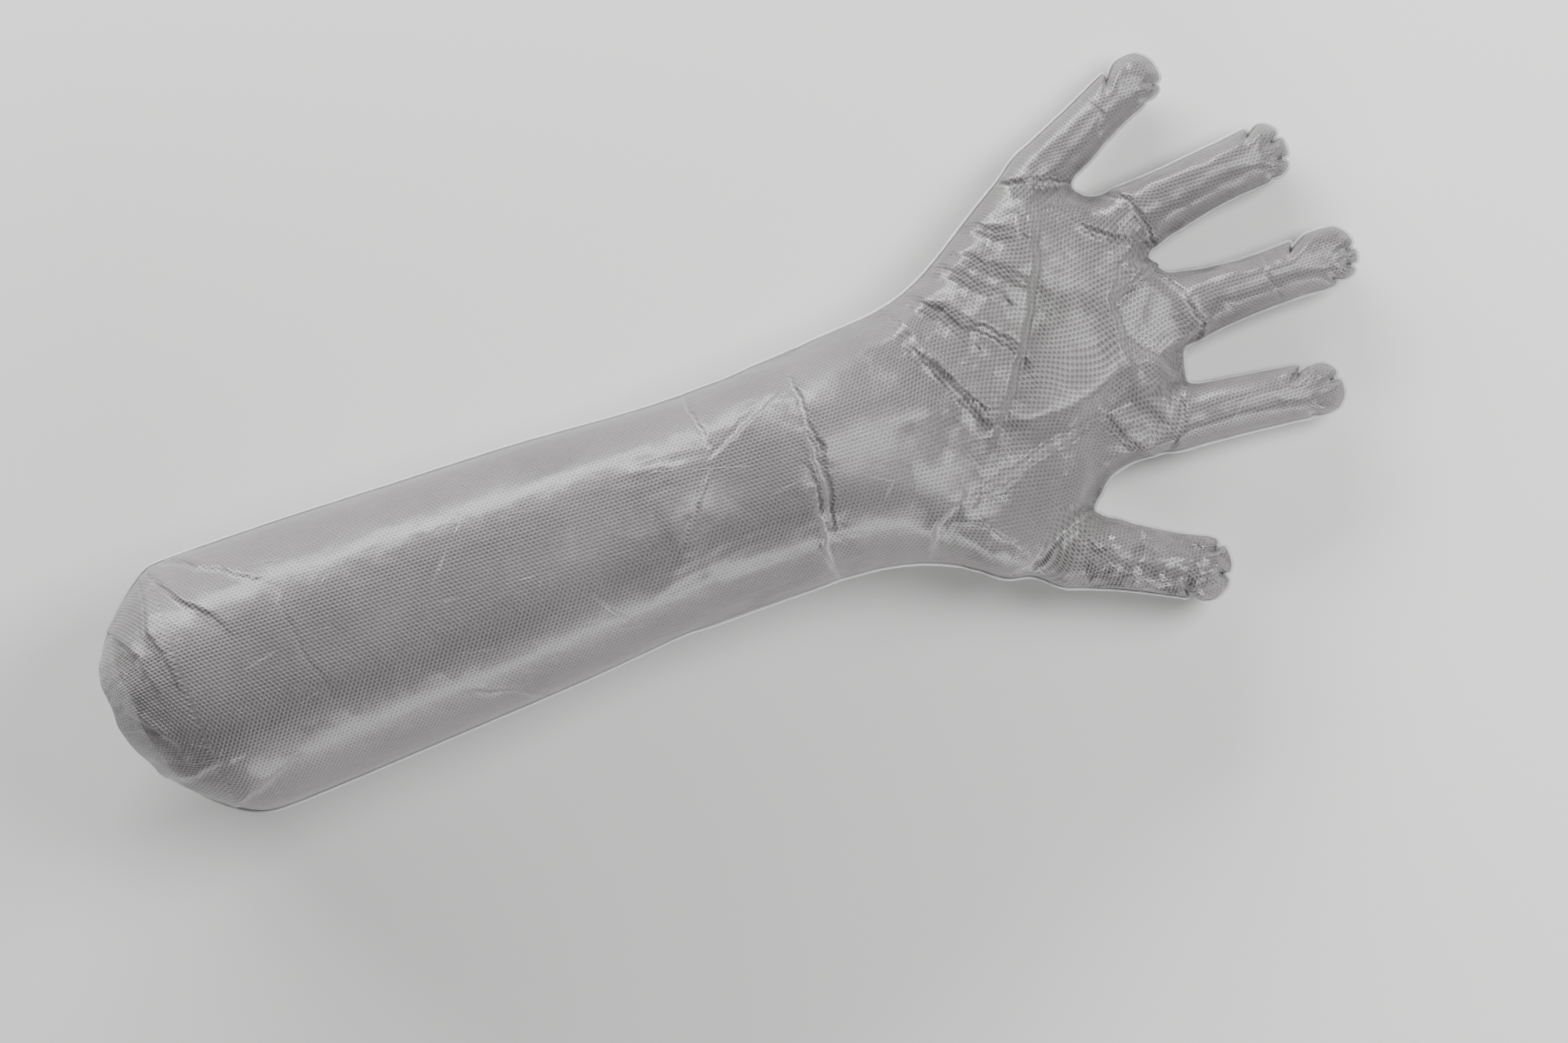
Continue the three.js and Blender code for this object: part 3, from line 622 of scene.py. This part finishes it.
# crumpled facets: random heights over random points, flat between them
def facetField(places, spacing, seed, stretch=(1, 1), turn=0):
    turn = math.radians(turn)
    spin = np.array([[math.cos(turn), -math.sin(turn)], [math.sin(turn), math.cos(turn)]])
    places = (places @ spin) / np.asarray(stretch)
    low, high = places.min(axis=0) - 2 * spacing, places.max(axis=0) + 2 * spacing
    rng = np.random.default_rng(seed)
    columns, rows = (np.ceil((high - low) / spacing)).astype(int)
    grid = np.stack(np.meshgrid(np.arange(columns), np.arange(rows), indexing="ij"), -1).reshape(-1, 2)
    spots = low + (grid + 0.5 + rng.uniform(-0.46, 0.46, grid.shape)) * spacing
    heights = rng.uniform(-1, 1, len(spots))
    result = geometry.delaunay_2d_cdt([Vector(spot) for spot in spots], [], [], 0, 1e-4)
    corners = [Vector((spot.x, spot.y, heights[origins[0]])) for spot, origins in zip(result[0], result[3])]
    tree = BVHTree.FromPolygons(corners, result[2])
    down = Vector((0, 0, -1))
    return np.array([(tree.ray_cast(Vector((a, b, 5)), down)[0] or Vector()).z for a, b in places])


def vertexNormals(mesh):
    flat = np.empty(len(mesh.vertices) * 3)
    mesh.vertex_normals.foreach_get("vector", flat)
    return flat.reshape(-1, 3)


crumple = {
    "palm": 0.75, "thumb": 1.9, "finger": 0.1, "index": 0.24, "tip": 0.8,
    "sleeve": 0.12, "wrist": 0.5, "mouth": 0.7,
    "coarse": 17, "fine": 6.5, "fineShare": 0.36, "tiny": 3.6, "seed": 11,
}


# how strongly the film is crumpled at each point
def crumpleStrength(points):
    x, y = points[:, 0], points[:, 1]
    strength = np.full(len(points), crumple["sleeve"])
    strength = mix(strength, crumple["mouth"], smoothStep(-262, -285, x))
    strength = np.maximum(strength, crumple["wrist"] * np.exp(-((x - 12) / 16) ** 2))
    strength = mix(strength, crumple["palm"], smoothStep(42, 85, x))
    for name in fingers:
        finger = fingerFrame(name)
        offset = points[:, :2] - finger["base"]
        along, across = offset @ finger["axis"] / finger["long"], offset @ finger["cross"]
        inside = smoothStep(0, 0.16, along) * smoothStep(1.6, 1.2, np.abs(across) / finger["half"])
        if name == "thumb":
            own = np.full(len(points), crumple["thumb"])
        else:
            plain = crumple["index" if name == "index" else "finger"]
            own = mix(plain, crumple["tip"], smoothStep(0.62, 0.85, along))
        strength = mix(strength, own, inside)
    return strength


# how far the fine puckers of the material show at each point
def puckerStrength(points):
    x = points[:, 0]
    strength = mix(np.full(len(points), 0.08), 0.3, smoothStep(35, 80, x))
    strength = np.maximum(strength, 0.25 * np.exp(-((x - 12) / 10) ** 2))
    strength = np.maximum(strength, 0.22 * smoothStep(-262, -285, x))
    for name in fingers:
        finger = fingerFrame(name)
        offset = points[:, :2] - finger["base"]
        along, across = offset @ finger["axis"] / finger["long"], offset @ finger["cross"]
        inside = smoothStep(0, 0.16, along) * smoothStep(1.6, 1.2, np.abs(across) / finger["half"])
        tip = mix(0.07, 0.4, smoothStep(0.66, 0.88, along))
        strength = mix(strength, 1.0 if name == "thumb" else tip, inside)
    return strength


# pulls the weld in at each notch of the fingertips, and sinks a crease that runs in from it
def notchMoves(points):
    move = np.zeros_like(points)
    line = np.zeros(len(points))
    for name, rows in notches.items():
        finger = fingerFrame(name)
        for along, side, bite, reach in rows:
            half, rise, lean = fingerSize(finger, min(along, 0.985))
            spot = finger["base"] + finger["axis"] * along * finger["long"]
            spot = spot + finger["cross"] * (side * half + lean)
            heart = finger["base"] + finger["axis"] * (along - 0.2) * finger["long"] + finger["cross"] * lean
            inward = (heart - spot) / np.linalg.norm(heart - spot)
            aside = np.array([-inward[1], inward[0]])
            offset = points[:, :2] - spot
            deep, wide = offset @ inward, np.abs(offset @ aside)
            away = np.clip(-deep, 0, None) + wide
            pinch = np.exp(-(wide / 1.15) ** 2) * np.exp(-(np.clip(deep, 0, None) / (bite * 1.3)) ** 2)
            near = smoothStep(14, 8, np.hypot(offset[:, 0], offset[:, 1]))
            move[:, :2] += (pinch * bite * near)[:, None] * inward
            within = smoothStep(reach, 0, deep) * smoothStep(-6, 0, deep)
            groove = np.clip(1 - wide / 2.8, 0, 1) ** 1.3 * within
            swell = np.exp(-((wide - 4.2) / 2.2) ** 2) * within
            offWeld = np.sign(points[:, 2]) * smoothStep(0, 3, np.abs(points[:, 2]))
            move[:, 2] -= offWeld * (groove * 4.2 - swell * 1.4)
            line = np.maximum(line, np.clip(1 - away / 1.5, 0, 1) * smoothStep(reach, 2, deep))
    return move, line


def shapeFilm(mesh, side):
    points = readPoints(mesh)
    flat = flatPattern(points)
    strength = crumpleStrength(points)
    puckers = puckerStrength(points)
    fromWeld = smoothStep(0, 7, np.abs(points[:, 2]))
    pinch, tipLine = notchMoves(points)
    normals = vertexNormals(mesh)
    coarse = facetField(flat, crumple["coarse"], crumple["seed"] + side, (1, 1.25), 35)
    fine = facetField(flat, crumple["fine"], crumple["seed"] + 7 * side, (1.2, 1), 20)
    lift = strength * (coarse + crumple["fineShare"] * fine) * fromWeld
    line = tipLine
    if side > 0:
        tiny = facetField(flat, crumple["tiny"], crumple["seed"] + 3)
        relief, creaseLine = creaseRelief(points[:, :2], tiny)
        lift += relief * smoothStep(0, 7, points[:, 2])
        line = np.maximum(line, creaseLine)
        points[:, 2] = mix(points[:, 2], drawTight(points, normals), fromWeld)
    points = points + normals * lift[:, None] + pinch
    points[:, 2] += weldHeight(points[:, 0])
    points[:, 2] = softFloor(points[:, 2], 0.3)
    points[:, 0] += glove["place"][0]
    points[:, 1] += glove["place"][1]
    writePoints(mesh, points)
    layer = mesh.uv_layers.new(name="flatSheet")
    corners = np.empty(len(mesh.loops), int)
    mesh.loops.foreach_get("vertex_index", corners)
    layer.data.foreach_set("uv", flat[corners].ravel() * 0.01)  # one unit is a decimetre of the flat sheet
    # fold lines: where the film's colour is later painted paler, a painted highlight along each crease and
    # notch groove
    foldHighlightMask = mesh.attributes.new("foldLine", "FLOAT", "POINT")
    foldHighlightMask.data.foreach_set("value", line)
    puckered = mesh.attributes.new("crumpled", "FLOAT", "POINT")
    puckered.data.foreach_set("value", puckers)
    mesh.shade_smooth()


def softFloor(z, level):
    return level + np.where(z > level + 1.5, z - level, 1.5 * np.exp(np.minimum(z - level - 1.5, 0) / 1.5))


# a short way to place shader and geometry nodes
def node(tree, kind, at, inputs=None, **settings):
    made = tree.nodes.new(kind)
    made.location = (at[0] * 190, at[1] * 170)
    for key, value in settings.items():
        setattr(made, key, value)
    for key, value in (inputs or {}).items():
        if isinstance(value, bpy.types.NodeSocket):
            tree.links.new(value, made.inputs[key])
        else:
            made.inputs[key].default_value = value
    return made


filmLook = {
    "pale": (0.235, 0.219, 0.221, 1), "dusk": (0.155, 0.143, 0.146, 1), "tint": (0.21, 0.25, 0.21, 1),
    # the pale colour below serves the painted highlights on fold lines and on the rim, and the real pale
    # scratches
    # the pit number is the share of the film's colour that the pits keep under their painted shade
    "foldHighlightAndScratchPale": (0.66, 0.65, 0.655, 1), "pit": 0.42, "roughness": 0.36, "alpha": 0.88,
    "alphaBelow": 0.92, "rimAlpha": 0.85, "rimRoughness": 0.28,
    "pitch": 1.87, "turn": 3.5, "pitRadius": 0.29, "pitDepth": 0.42,
    "puckers": ((5.2, 0.2), (10.5, 0.32), (19, 0.24)),  # cells in a decimetre and slope
}


def math2(tree, at, operation, a, b=0.5, clamp=False):
    made = node(tree, "ShaderNodeMath", at, {0: a, 1: b}, operation=operation)
    made.use_clamp = clamp
    return made.outputs[0]


def vector2(tree, at, operation, a, b=None, c=None):
    given = {i: value for i, value in enumerate((a, b, c)) if value is not None}
    return node(tree, "ShaderNodeVectorMath", at, given, operation=operation)


# distance from the nearest pit of the embossed pattern, in pitches
def pitDistance(tree, at, place):
    x, y = at
    root3 = math.sqrt(3)
    found = []
    for row, offset in enumerate(((0, 0, 0), (0.5, root3 / 2, 0))):
        level = y - row * 1.2
        moved = vector2(tree, (x, level), "SUBTRACT", place, offset)
        wrapped = vector2(tree, (x + 1, level), "WRAP", moved.outputs[0],
                          (0.5, root3 / 2, 1), (-0.5, -root3 / 2, 0))
        far = vector2(tree, (x + 2, level), "LENGTH", wrapped.outputs[0])
        found.append(far.outputs["Value"])
    return math2(tree, (x + 3, y), "MINIMUM", found[0], found[1])


def colourMix(tree, at, share, a, b, blend="MIX"):
    made = node(tree, "ShaderNodeMix", at, data_type="RGBA", blend_type=blend)
    for key, value in ((0, share), (6, a), (7, b)):
        if isinstance(value, bpy.types.NodeSocket):
            tree.links.new(value, made.inputs[key])
        else:
            made.inputs[key].default_value = value
    return made.outputs[2]


# milky embossed film: pits in close rows darkened by painted shade, faint pale scratches, fold lines painted
# paler as a painted highlight, a drifting tint; unembossed (the rim) it is painted pale all over as a painted
# highlight
def filmMaterial(name, alpha, roughness, embossed=True):
    material = bpy.data.materials.new(name)
    material.use_nodes = True
    tree = material.node_tree
    tree.nodes.clear()
    out = node(tree, "ShaderNodeOutputMaterial", (12, 0))
    shader = node(tree, "ShaderNodeBsdfPrincipled", (10, 0))
    tree.links.new(shader.outputs[0], out.inputs[0])
    sheetMap = node(tree, "ShaderNodeUVMap", (-6, 0), uv_map="flatSheet").outputs[0]
    spot = node(tree, "ShaderNodeTexCoord", (-6, -3)).outputs["Object"]
    fold = node(tree, "ShaderNodeAttribute", (-6, 3), attribute_name="foldLine").outputs["Fac"]
    rumple = node(tree, "ShaderNodeAttribute", (-6, 4), attribute_name="crumpled").outputs["Fac"]

    scale = 100 / filmLook["pitch"]
    turned = node(tree, "ShaderNodeMapping", (-5, 0), {
        "Vector": sheetMap, "Rotation": (0, 0, math.radians(filmLook["turn"])), "Scale": (scale, scale, 1),
    }).outputs[0]
    away = pitDistance(tree, (-4, 0), turned)
    pit = node(tree, "ShaderNodeMapRange", (0, 0), {
        "Value": away, "From Min": filmLook["pitRadius"] + 0.1, "From Max": filmLook["pitRadius"] - 0.14,
        "To Max": 1 if embossed else 0}, interpolation_type="SMOOTHSTEP").outputs[0]

    clouds = node(tree, "ShaderNodeTexNoise", (-4, -3), {
        "Vector": spot, "Scale": 11, "Detail": 4, "Roughness": 0.6})
    tints = node(tree, "ShaderNodeTexNoise", (-4, -4), {
        "Vector": spot, "Scale": 24, "Detail": 2, "Roughness": 0.5})
    stretch = node(tree, "ShaderNodeMapping", (-5, -5), {
        "Vector": sheetMap, "Rotation": (0, 0, 0.9), "Scale": (0.9, 3.1, 1)}).outputs[0]
    hairs = node(tree, "ShaderNodeTexVoronoi", (-4, -5), {"Vector": stretch, "Scale": 1.3},
                 voronoi_dimensions="2D", feature="DISTANCE_TO_EDGE")
    hairLine = node(tree, "ShaderNodeMapRange", (-2, -5), {
        "Value": hairs.outputs["Distance"], "From Min": 0.012, "From Max": 0.002},
        interpolation_type="SMOOTHSTEP").outputs[0]
    patch = node(tree, "ShaderNodeTexNoise", (-4, -7), {"Vector": sheetMap, "Scale": 3.2, "Detail": 1})
    patchy = node(tree, "ShaderNodeMapRange", (-2, -7), {
        "Value": patch.outputs[0], "From Min": 0.54, "From Max": 0.64},
        interpolation_type="SMOOTHSTEP").outputs[0]
    hair = math2(tree, (-1, -5), "MULTIPLY", hairLine, patchy)

    cloudShare = node(tree, "ShaderNodeMapRange", (-3, -3), {
        "Value": clouds.outputs[0], "From Min": 0.3, "From Max": 0.7}).outputs[0]
    tintShare = node(tree, "ShaderNodeMapRange", (-3, -4), {
        "Value": tints.outputs[0], "From Min": 0.52, "From Max": 0.72, "To Max": 0.8}).outputs[0]
    tinted = math2(tree, (-2, -4), "MULTIPLY", tintShare, rumple)
    colour = colourMix(tree, (0, -2), cloudShare, filmLook["dusk"], filmLook["pale"])
    colour = colourMix(tree, (1, -2), tinted, colour, filmLook["tint"])
    # painted shade: the colour in each pit of the emboss is drawn toward near-black, standing in for the
    # shade that falls in the dimples
    paintedPitShadeShare = math2(tree, (1, 0), "MULTIPLY", pit, 1 - filmLook["pit"])
    withPaintedPitShade = colourMix(tree, (2, -2), paintedPitShadeShare, colour, (0.1, 0.1, 0.1, 1))
    # painted highlight: fold lines are drawn toward the pale colour; the real pale scratches join them at a
    # weaker share
    highlightAndScratchShare = math2(tree, (2, 2), "MAXIMUM", math2(tree, (1, 2), "MULTIPLY", fold, 0.8),
                      math2(tree, (1, 3), "MULTIPLY", hair, 0.22))
    # painted highlight: without the emboss, as on the weld rim, the colour is drawn at least 80 % toward the
    # pale colour so the rim reads as a bright line
    highlightAndScratchShare = math2(tree, (3, 2), "MAXIMUM", highlightAndScratchShare, 0 if embossed else 0.8)
    colour = colourMix(tree, (3, -2), highlightAndScratchShare, withPaintedPitShade, filmLook["foldHighlightAndScratchPale"])
    tree.links.new(colour, shader.inputs["Base Color"])

    smear = math2(tree, (4, 1), "MULTIPLY_ADD", cloudShare, 0.12)
    smear.node.inputs[2].default_value = roughness - 0.06
    gloss = math2(tree, (5, 1), "SUBTRACT", smear, math2(tree, (4, 2), "MULTIPLY", rumple, 0.14))
    tree.links.new(gloss, shader.inputs["Roughness"])

    drift = node(tree, "ShaderNodeTexNoise", (-4, -9), {"Vector": sheetMap, "Scale": 7, "Detail": 2})
    centred = vector2(tree, (-3, -9), "SUBTRACT", drift.outputs["Color"], (0.5, 0.5, 0.5)).outputs[0]
    swayed = vector2(tree, (-2, -9), "MULTIPLY_ADD", centred, (0.16, 0.16, 0), sheetMap).outputs[0]
    puckered = None
    for i, (cells, slope) in enumerate(filmLook["puckers"]):
        level = -9 - 2 * i
        cell = node(tree, "ShaderNodeTexVoronoi", (-1, level), {"Vector": swayed, "Scale": cells},
                    voronoi_dimensions="2D", feature="F1")
        lean = vector2(tree, (0, level), "SUBTRACT", cell.outputs["Color"], (0.5, 0.5, 0.5)).outputs[0]
        within = vector2(tree, (0, level - 1), "SUBTRACT", swayed, cell.outputs["Position"]).outputs[0]
        raised = vector2(tree, (1, level), "DOT_PRODUCT", lean, within)
        height = math2(tree, (2, level), "MULTIPLY", raised.outputs["Value"], slope)
        puckered = height if puckered is None else math2(tree, (3, level), "ADD", puckered, height)
    puckered = math2(tree, (4, -9), "MULTIPLY", puckered, rumple)
    folded = node(tree, "ShaderNodeBump", (5, -9), {"Strength": 1.0, "Distance": 0.2, "Height": puckered})

    fineNoise = node(tree, "ShaderNodeTexNoise", (3, -5), {"Vector": spot, "Scale": 420, "Detail": 3})
    grain = node(tree, "ShaderNodeBump", (6, -5), {
        "Strength": 0.35, "Distance": 0.0001, "Height": fineNoise.outputs[0], "Normal": folded.outputs[0]})
    scratched = node(tree, "ShaderNodeBump", (7, -4), {
        "Strength": 0.7, "Distance": 0.0004, "Height": hair, "Normal": grain.outputs[0]})
    pitted = node(tree, "ShaderNodeBump", (8, -3), {
        "Strength": 1.0, "Distance": filmLook["pitDepth"] * milli, "Height": pit,
        "Normal": scratched.outputs[0]}, invert=True)
    tree.links.new(pitted.outputs[0], shader.inputs["Normal"])
    shader.inputs["Alpha"].default_value = alpha
    shader.inputs["IOR"].default_value = 1.5
    shader.inputs["Specular IOR Level"].default_value = 0.85
    shader.inputs["Coat Weight"].default_value = 0.12
    shader.inputs["Coat Roughness"].default_value = 0.16
    shader.inputs["Sheen Weight"].default_value = 0.15
    shader.inputs["Sheen Roughness"].default_value = 0.4
    return material


rim = {"width": 1.4, "thick": 0.1, "step": 1.0, "wave": 0.4, "seed": 5}


# the open loop of points round the upper film's weld, from one side of the mouth round the tips to the other
def weldLoop(mesh, weldPoints):
    bm = bmesh.new()
    bm.from_mesh(mesh)
    bm.verts.ensure_lookup_table()
    onWeld = set(np.flatnonzero(weldPoints).tolist())
    following = {}
    for edge in bm.edges:
        a, b = (vert.index for vert in edge.verts)
        if edge.is_boundary and a in onWeld and b in onWeld:
            following.setdefault(a, []).append(b)
            following.setdefault(b, []).append(a)
    ends = [i for i, others in following.items() if len(others) == 1]
    at = max(ends, key=lambda i: bm.verts[i].co.y)
    chain, seen = [at], {at}
    while True:
        onward = [i for i in following[chain[-1]] if i not in seen]
        if not onward:
            break
        chain.append(onward[0])
        seen.add(onward[0])
    places = [bm.verts[i].co.copy() for i in chain]
    bm.free()
    return places


def geometryTree(name, inputs):
    tree = bpy.data.node_groups.new(name, "GeometryNodeTree")
    tree.interface.new_socket("Geometry", in_out="INPUT", socket_type="NodeSocketGeometry")
    for label, value in inputs:
        socket = tree.interface.new_socket(label, in_out="INPUT", socket_type="NodeSocketFloat")
        socket.default_value = value
    tree.interface.new_socket("Geometry", in_out="OUTPUT", socket_type="NodeSocketGeometry")
    return tree, node(tree, "NodeGroupInput", (-4, 0)).outputs, node(tree, "NodeGroupOutput", (9, 0))


# the welded lip: a thin flat strip that follows the outline and waves a little
def weldStrip(places, material):
    mesh = bpy.data.meshes.new("weldRim")
    mesh.from_pydata(places, [(i, i + 1) for i in range(len(places) - 1)], [])
    obj = addObject("weldRim", mesh)
    tree, given, result = geometryTree("weldLip", [
        ("Lip width", rim["width"] * milli), ("Lip thickness", rim["thick"] * milli),
        ("Step", rim["step"] * milli), ("Waviness", rim["wave"] * milli)])
    line = node(tree, "GeometryNodeMeshToCurve", (-3, 0), {"Mesh": given[0]})
    even = node(tree, "GeometryNodeResampleCurve", (-2, 0), {
        "Curve": line.outputs[0], "Length": given["Step"]}, mode="LENGTH")
    ripple = node(tree, "ShaderNodeTexNoise", (-2, -2), {
        "Scale": 210, "Detail": 2, "W": rim["seed"]}, noise_dimensions="4D")
    centred = vector2(tree, (-1, -2), "SUBTRACT", ripple.outputs["Color"], (0.5, 0.5, 0.5))
    wave = node(tree, "ShaderNodeVectorMath", (0, -2), {0: centred.outputs[0], "Scale": given["Waviness"]},
                operation="SCALE")
    wavy = node(tree, "GeometryNodeSetPosition", (0, 0), {
        "Geometry": even.outputs[0], "Offset": wave.outputs[0]})
    level = node(tree, "GeometryNodeSetCurveNormal", (1, 0), {"Curve": wavy.outputs[0]}, mode="Z_UP")
    section = node(tree, "GeometryNodeCurvePrimitiveQuadrilateral", (1, 2), {
        "Width": given["Lip width"], "Height": given["Lip thickness"]})
    shift = node(tree, "ShaderNodeMath", (1, 3), {0: given["Lip width"], 1: -0.42}, operation="MULTIPLY")
    offset = node(tree, "ShaderNodeCombineXYZ", (2, 3), {"X": shift.outputs[0]})
    outward = node(tree, "GeometryNodeTransform", (3, 2), {"Geometry": section.outputs[0],
                                                           "Translation": offset.outputs[0]})
    strip = node(tree, "GeometryNodeCurveToMesh", (4, 0), {
        "Curve": level.outputs[0], "Profile Curve": outward.outputs[0], "Fill Caps": True})
    real = node(tree, "GeometryNodeRealizeInstances", (6, 0), {"Geometry": strip.outputs[0]})
    painted = node(tree, "GeometryNodeSetMaterial", (7, 0), {
        "Geometry": real.outputs[0], "Material": material})
    tree.links.new(painted.outputs[0], result.inputs[0])
    modifier = obj.modifiers.new("weldLip", "NODES")
    modifier.node_group = tree
    for item in tree.interface.items_tree:
        if item.in_out == "INPUT" and item.socket_type == "NodeSocketFloat":
            modifier[item.identifier] = item.default_value
    made = evaluatedMesh(obj)
    obj.modifiers.clear()
    obj.data = made
    return obj


print("puffing up the glove")
bag = puffedForm()
print("even squares:", len(bag.vertices), "points")
bag = blowUp(bag)
relax(bag, 1)
bag = cutWhere(bag, mouthField(readPoints(bag)))

films = {}
for name, side in (("upperFilm", 1), ("lowerFilm", -1)):
    half = cutWhere(bag, readPoints(bag)[:, 2] * side)
    half.name = name
    half = subdivided(half)
    half.name = name
    refineFolds(half, side)
    onWeld = np.abs(readPoints(half)[:, 2]) < 0.4
    shapeFilm(half, side)
    films[name] = addObject(name, half)
    if side > 0:
        weldPlaces = weldLoop(half, onWeld)
    print(name, "has", len(half.vertices), "points")

upperFilm, lowerFilm = films["upperFilm"], films["lowerFilm"]
upperFilm.data.materials.append(filmMaterial("milkyFilm", filmLook["alpha"], filmLook["roughness"]))
lowerFilm.data.materials.append(filmMaterial("milkyFilmBelow", filmLook["alphaBelow"], filmLook["roughness"]))

print("welding the rim")
# the rim's material is painted pale all over: a painted highlight along the weld
rimMaterial = filmMaterial("weldedEdge", filmLook["rimAlpha"], filmLook["rimRoughness"], embossed=False)
weldRim = weldStrip(weldPlaces, rimMaterial)
print("the weld's line has", len(weldPlaces), "points")

pieces = [upperFilm, lowerFilm, weldRim]
for piece in pieces:
    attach(piece, "root")
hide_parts(*[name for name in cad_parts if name.startswith("upper_")])
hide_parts(*[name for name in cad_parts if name.startswith("lower_")])
for piece in (upperFilm, lowerFilm):
    area = sum(face.area for face in piece.data.polygons)
    print(piece.name, "area", round(area, 4), "square metres", len(piece.data.polygons) * 2, "triangles")

studio = {
    "floorColour": (0.84, 0.84, 0.83, 1), "lens": 120, "frameWidth": 0.6667, "sensor": 36,
    "horizon": (0.9, 0.92, 0.95, 1), "zenith": (0.06, 0.06, 0.065, 1), "worldStrength": 0.13,
    "keyPower": 56, "fillPower": 22, "palmPower": 17,
    "aim": (0.0102, -0.0202), "aimHeight": 0.045, "roll": math.atan2(-0.3502, 0.9367),
}


def matteMaterial(name, colour):
    material = bpy.data.materials.new(name)
    material.use_nodes = True
    shader = material.node_tree.nodes["Principled BSDF"]
    shader.inputs["Base Color"].default_value = colour
    shader.inputs["Roughness"].default_value = 0.85
    return material


def softBox(name, place, target, size, power):
    data = bpy.data.lights.new(name, "AREA")
    data.shape = "RECTANGLE"
    data.size, data.size_y = size
    data.energy = power
    lamp = bpy.data.objects.new(name, data)
    lamp.location = place
    lamp.rotation_euler = (Vector(place) - Vector(target)).to_track_quat("Z", "Y").to_euler()
    scene.collection.objects.link(lamp)
    return lamp


print("setting the studio")
floorMesh = bpy.data.meshes.new("floor")
floorMesh.from_pydata([(-4, -4, 0), (4, -4, 0), (4, 4, 0), (-4, 4, 0)], [], [(0, 1, 2, 3)])
floor = addObject("floor", floorMesh)
floor.data.materials.append(matteMaterial("paleFloor", studio["floorColour"]))
softBox("keyLight", (-0.15, 1.4, 0.5), (-0.05, 0, 0.05), (1.8, 0.35), studio["keyPower"])
softBox("fillLight", (0.1, -1.4, 0.35), (0, 0, 0.05), (1.6, 0.3), studio["fillPower"])
softBox("palmLight", (0.84, 0.05, 1.0), (0.14, 0.01, 0.04), (0.6, 0.8), studio["palmPower"])
world = bpy.data.worlds.new("studio")
world.use_nodes = True
sky = world.node_tree
toward = node(sky, "ShaderNodeTexCoord", (-4, 0)).outputs["Generated"]
upward = node(sky, "ShaderNodeSeparateXYZ", (-3, 0), {0: toward}).outputs["Z"]
ceiling = node(sky, "ShaderNodeMapRange", (-2, 0), {
    "Value": upward, "From Min": 0.05, "From Max": 0.75}, interpolation_type="SMOOTHSTEP").outputs[0]
glow = colourMix(sky, (-1, 0), ceiling, studio["horizon"], studio["zenith"])
sky.links.new(glow, sky.nodes["Background"].inputs["Color"])
sky.nodes["Background"].inputs["Strength"].default_value = studio["worldStrength"]
scene.world = world

# straight down on the glove, turned as the photograph is
lensData = bpy.data.cameras.new("camera")
lensData.lens = studio["lens"]
lensData.sensor_width = studio["sensor"]
lensData.clip_end = 20
camera = bpy.data.objects.new("camera", lensData)
height = studio["frameWidth"] * studio["lens"] / studio["sensor"] + studio["aimHeight"]
camera.location = (*studio["aim"], height)
camera.rotation_euler = (0, 0, studio["roll"])
scene.collection.objects.link(camera)
scene.camera = camera
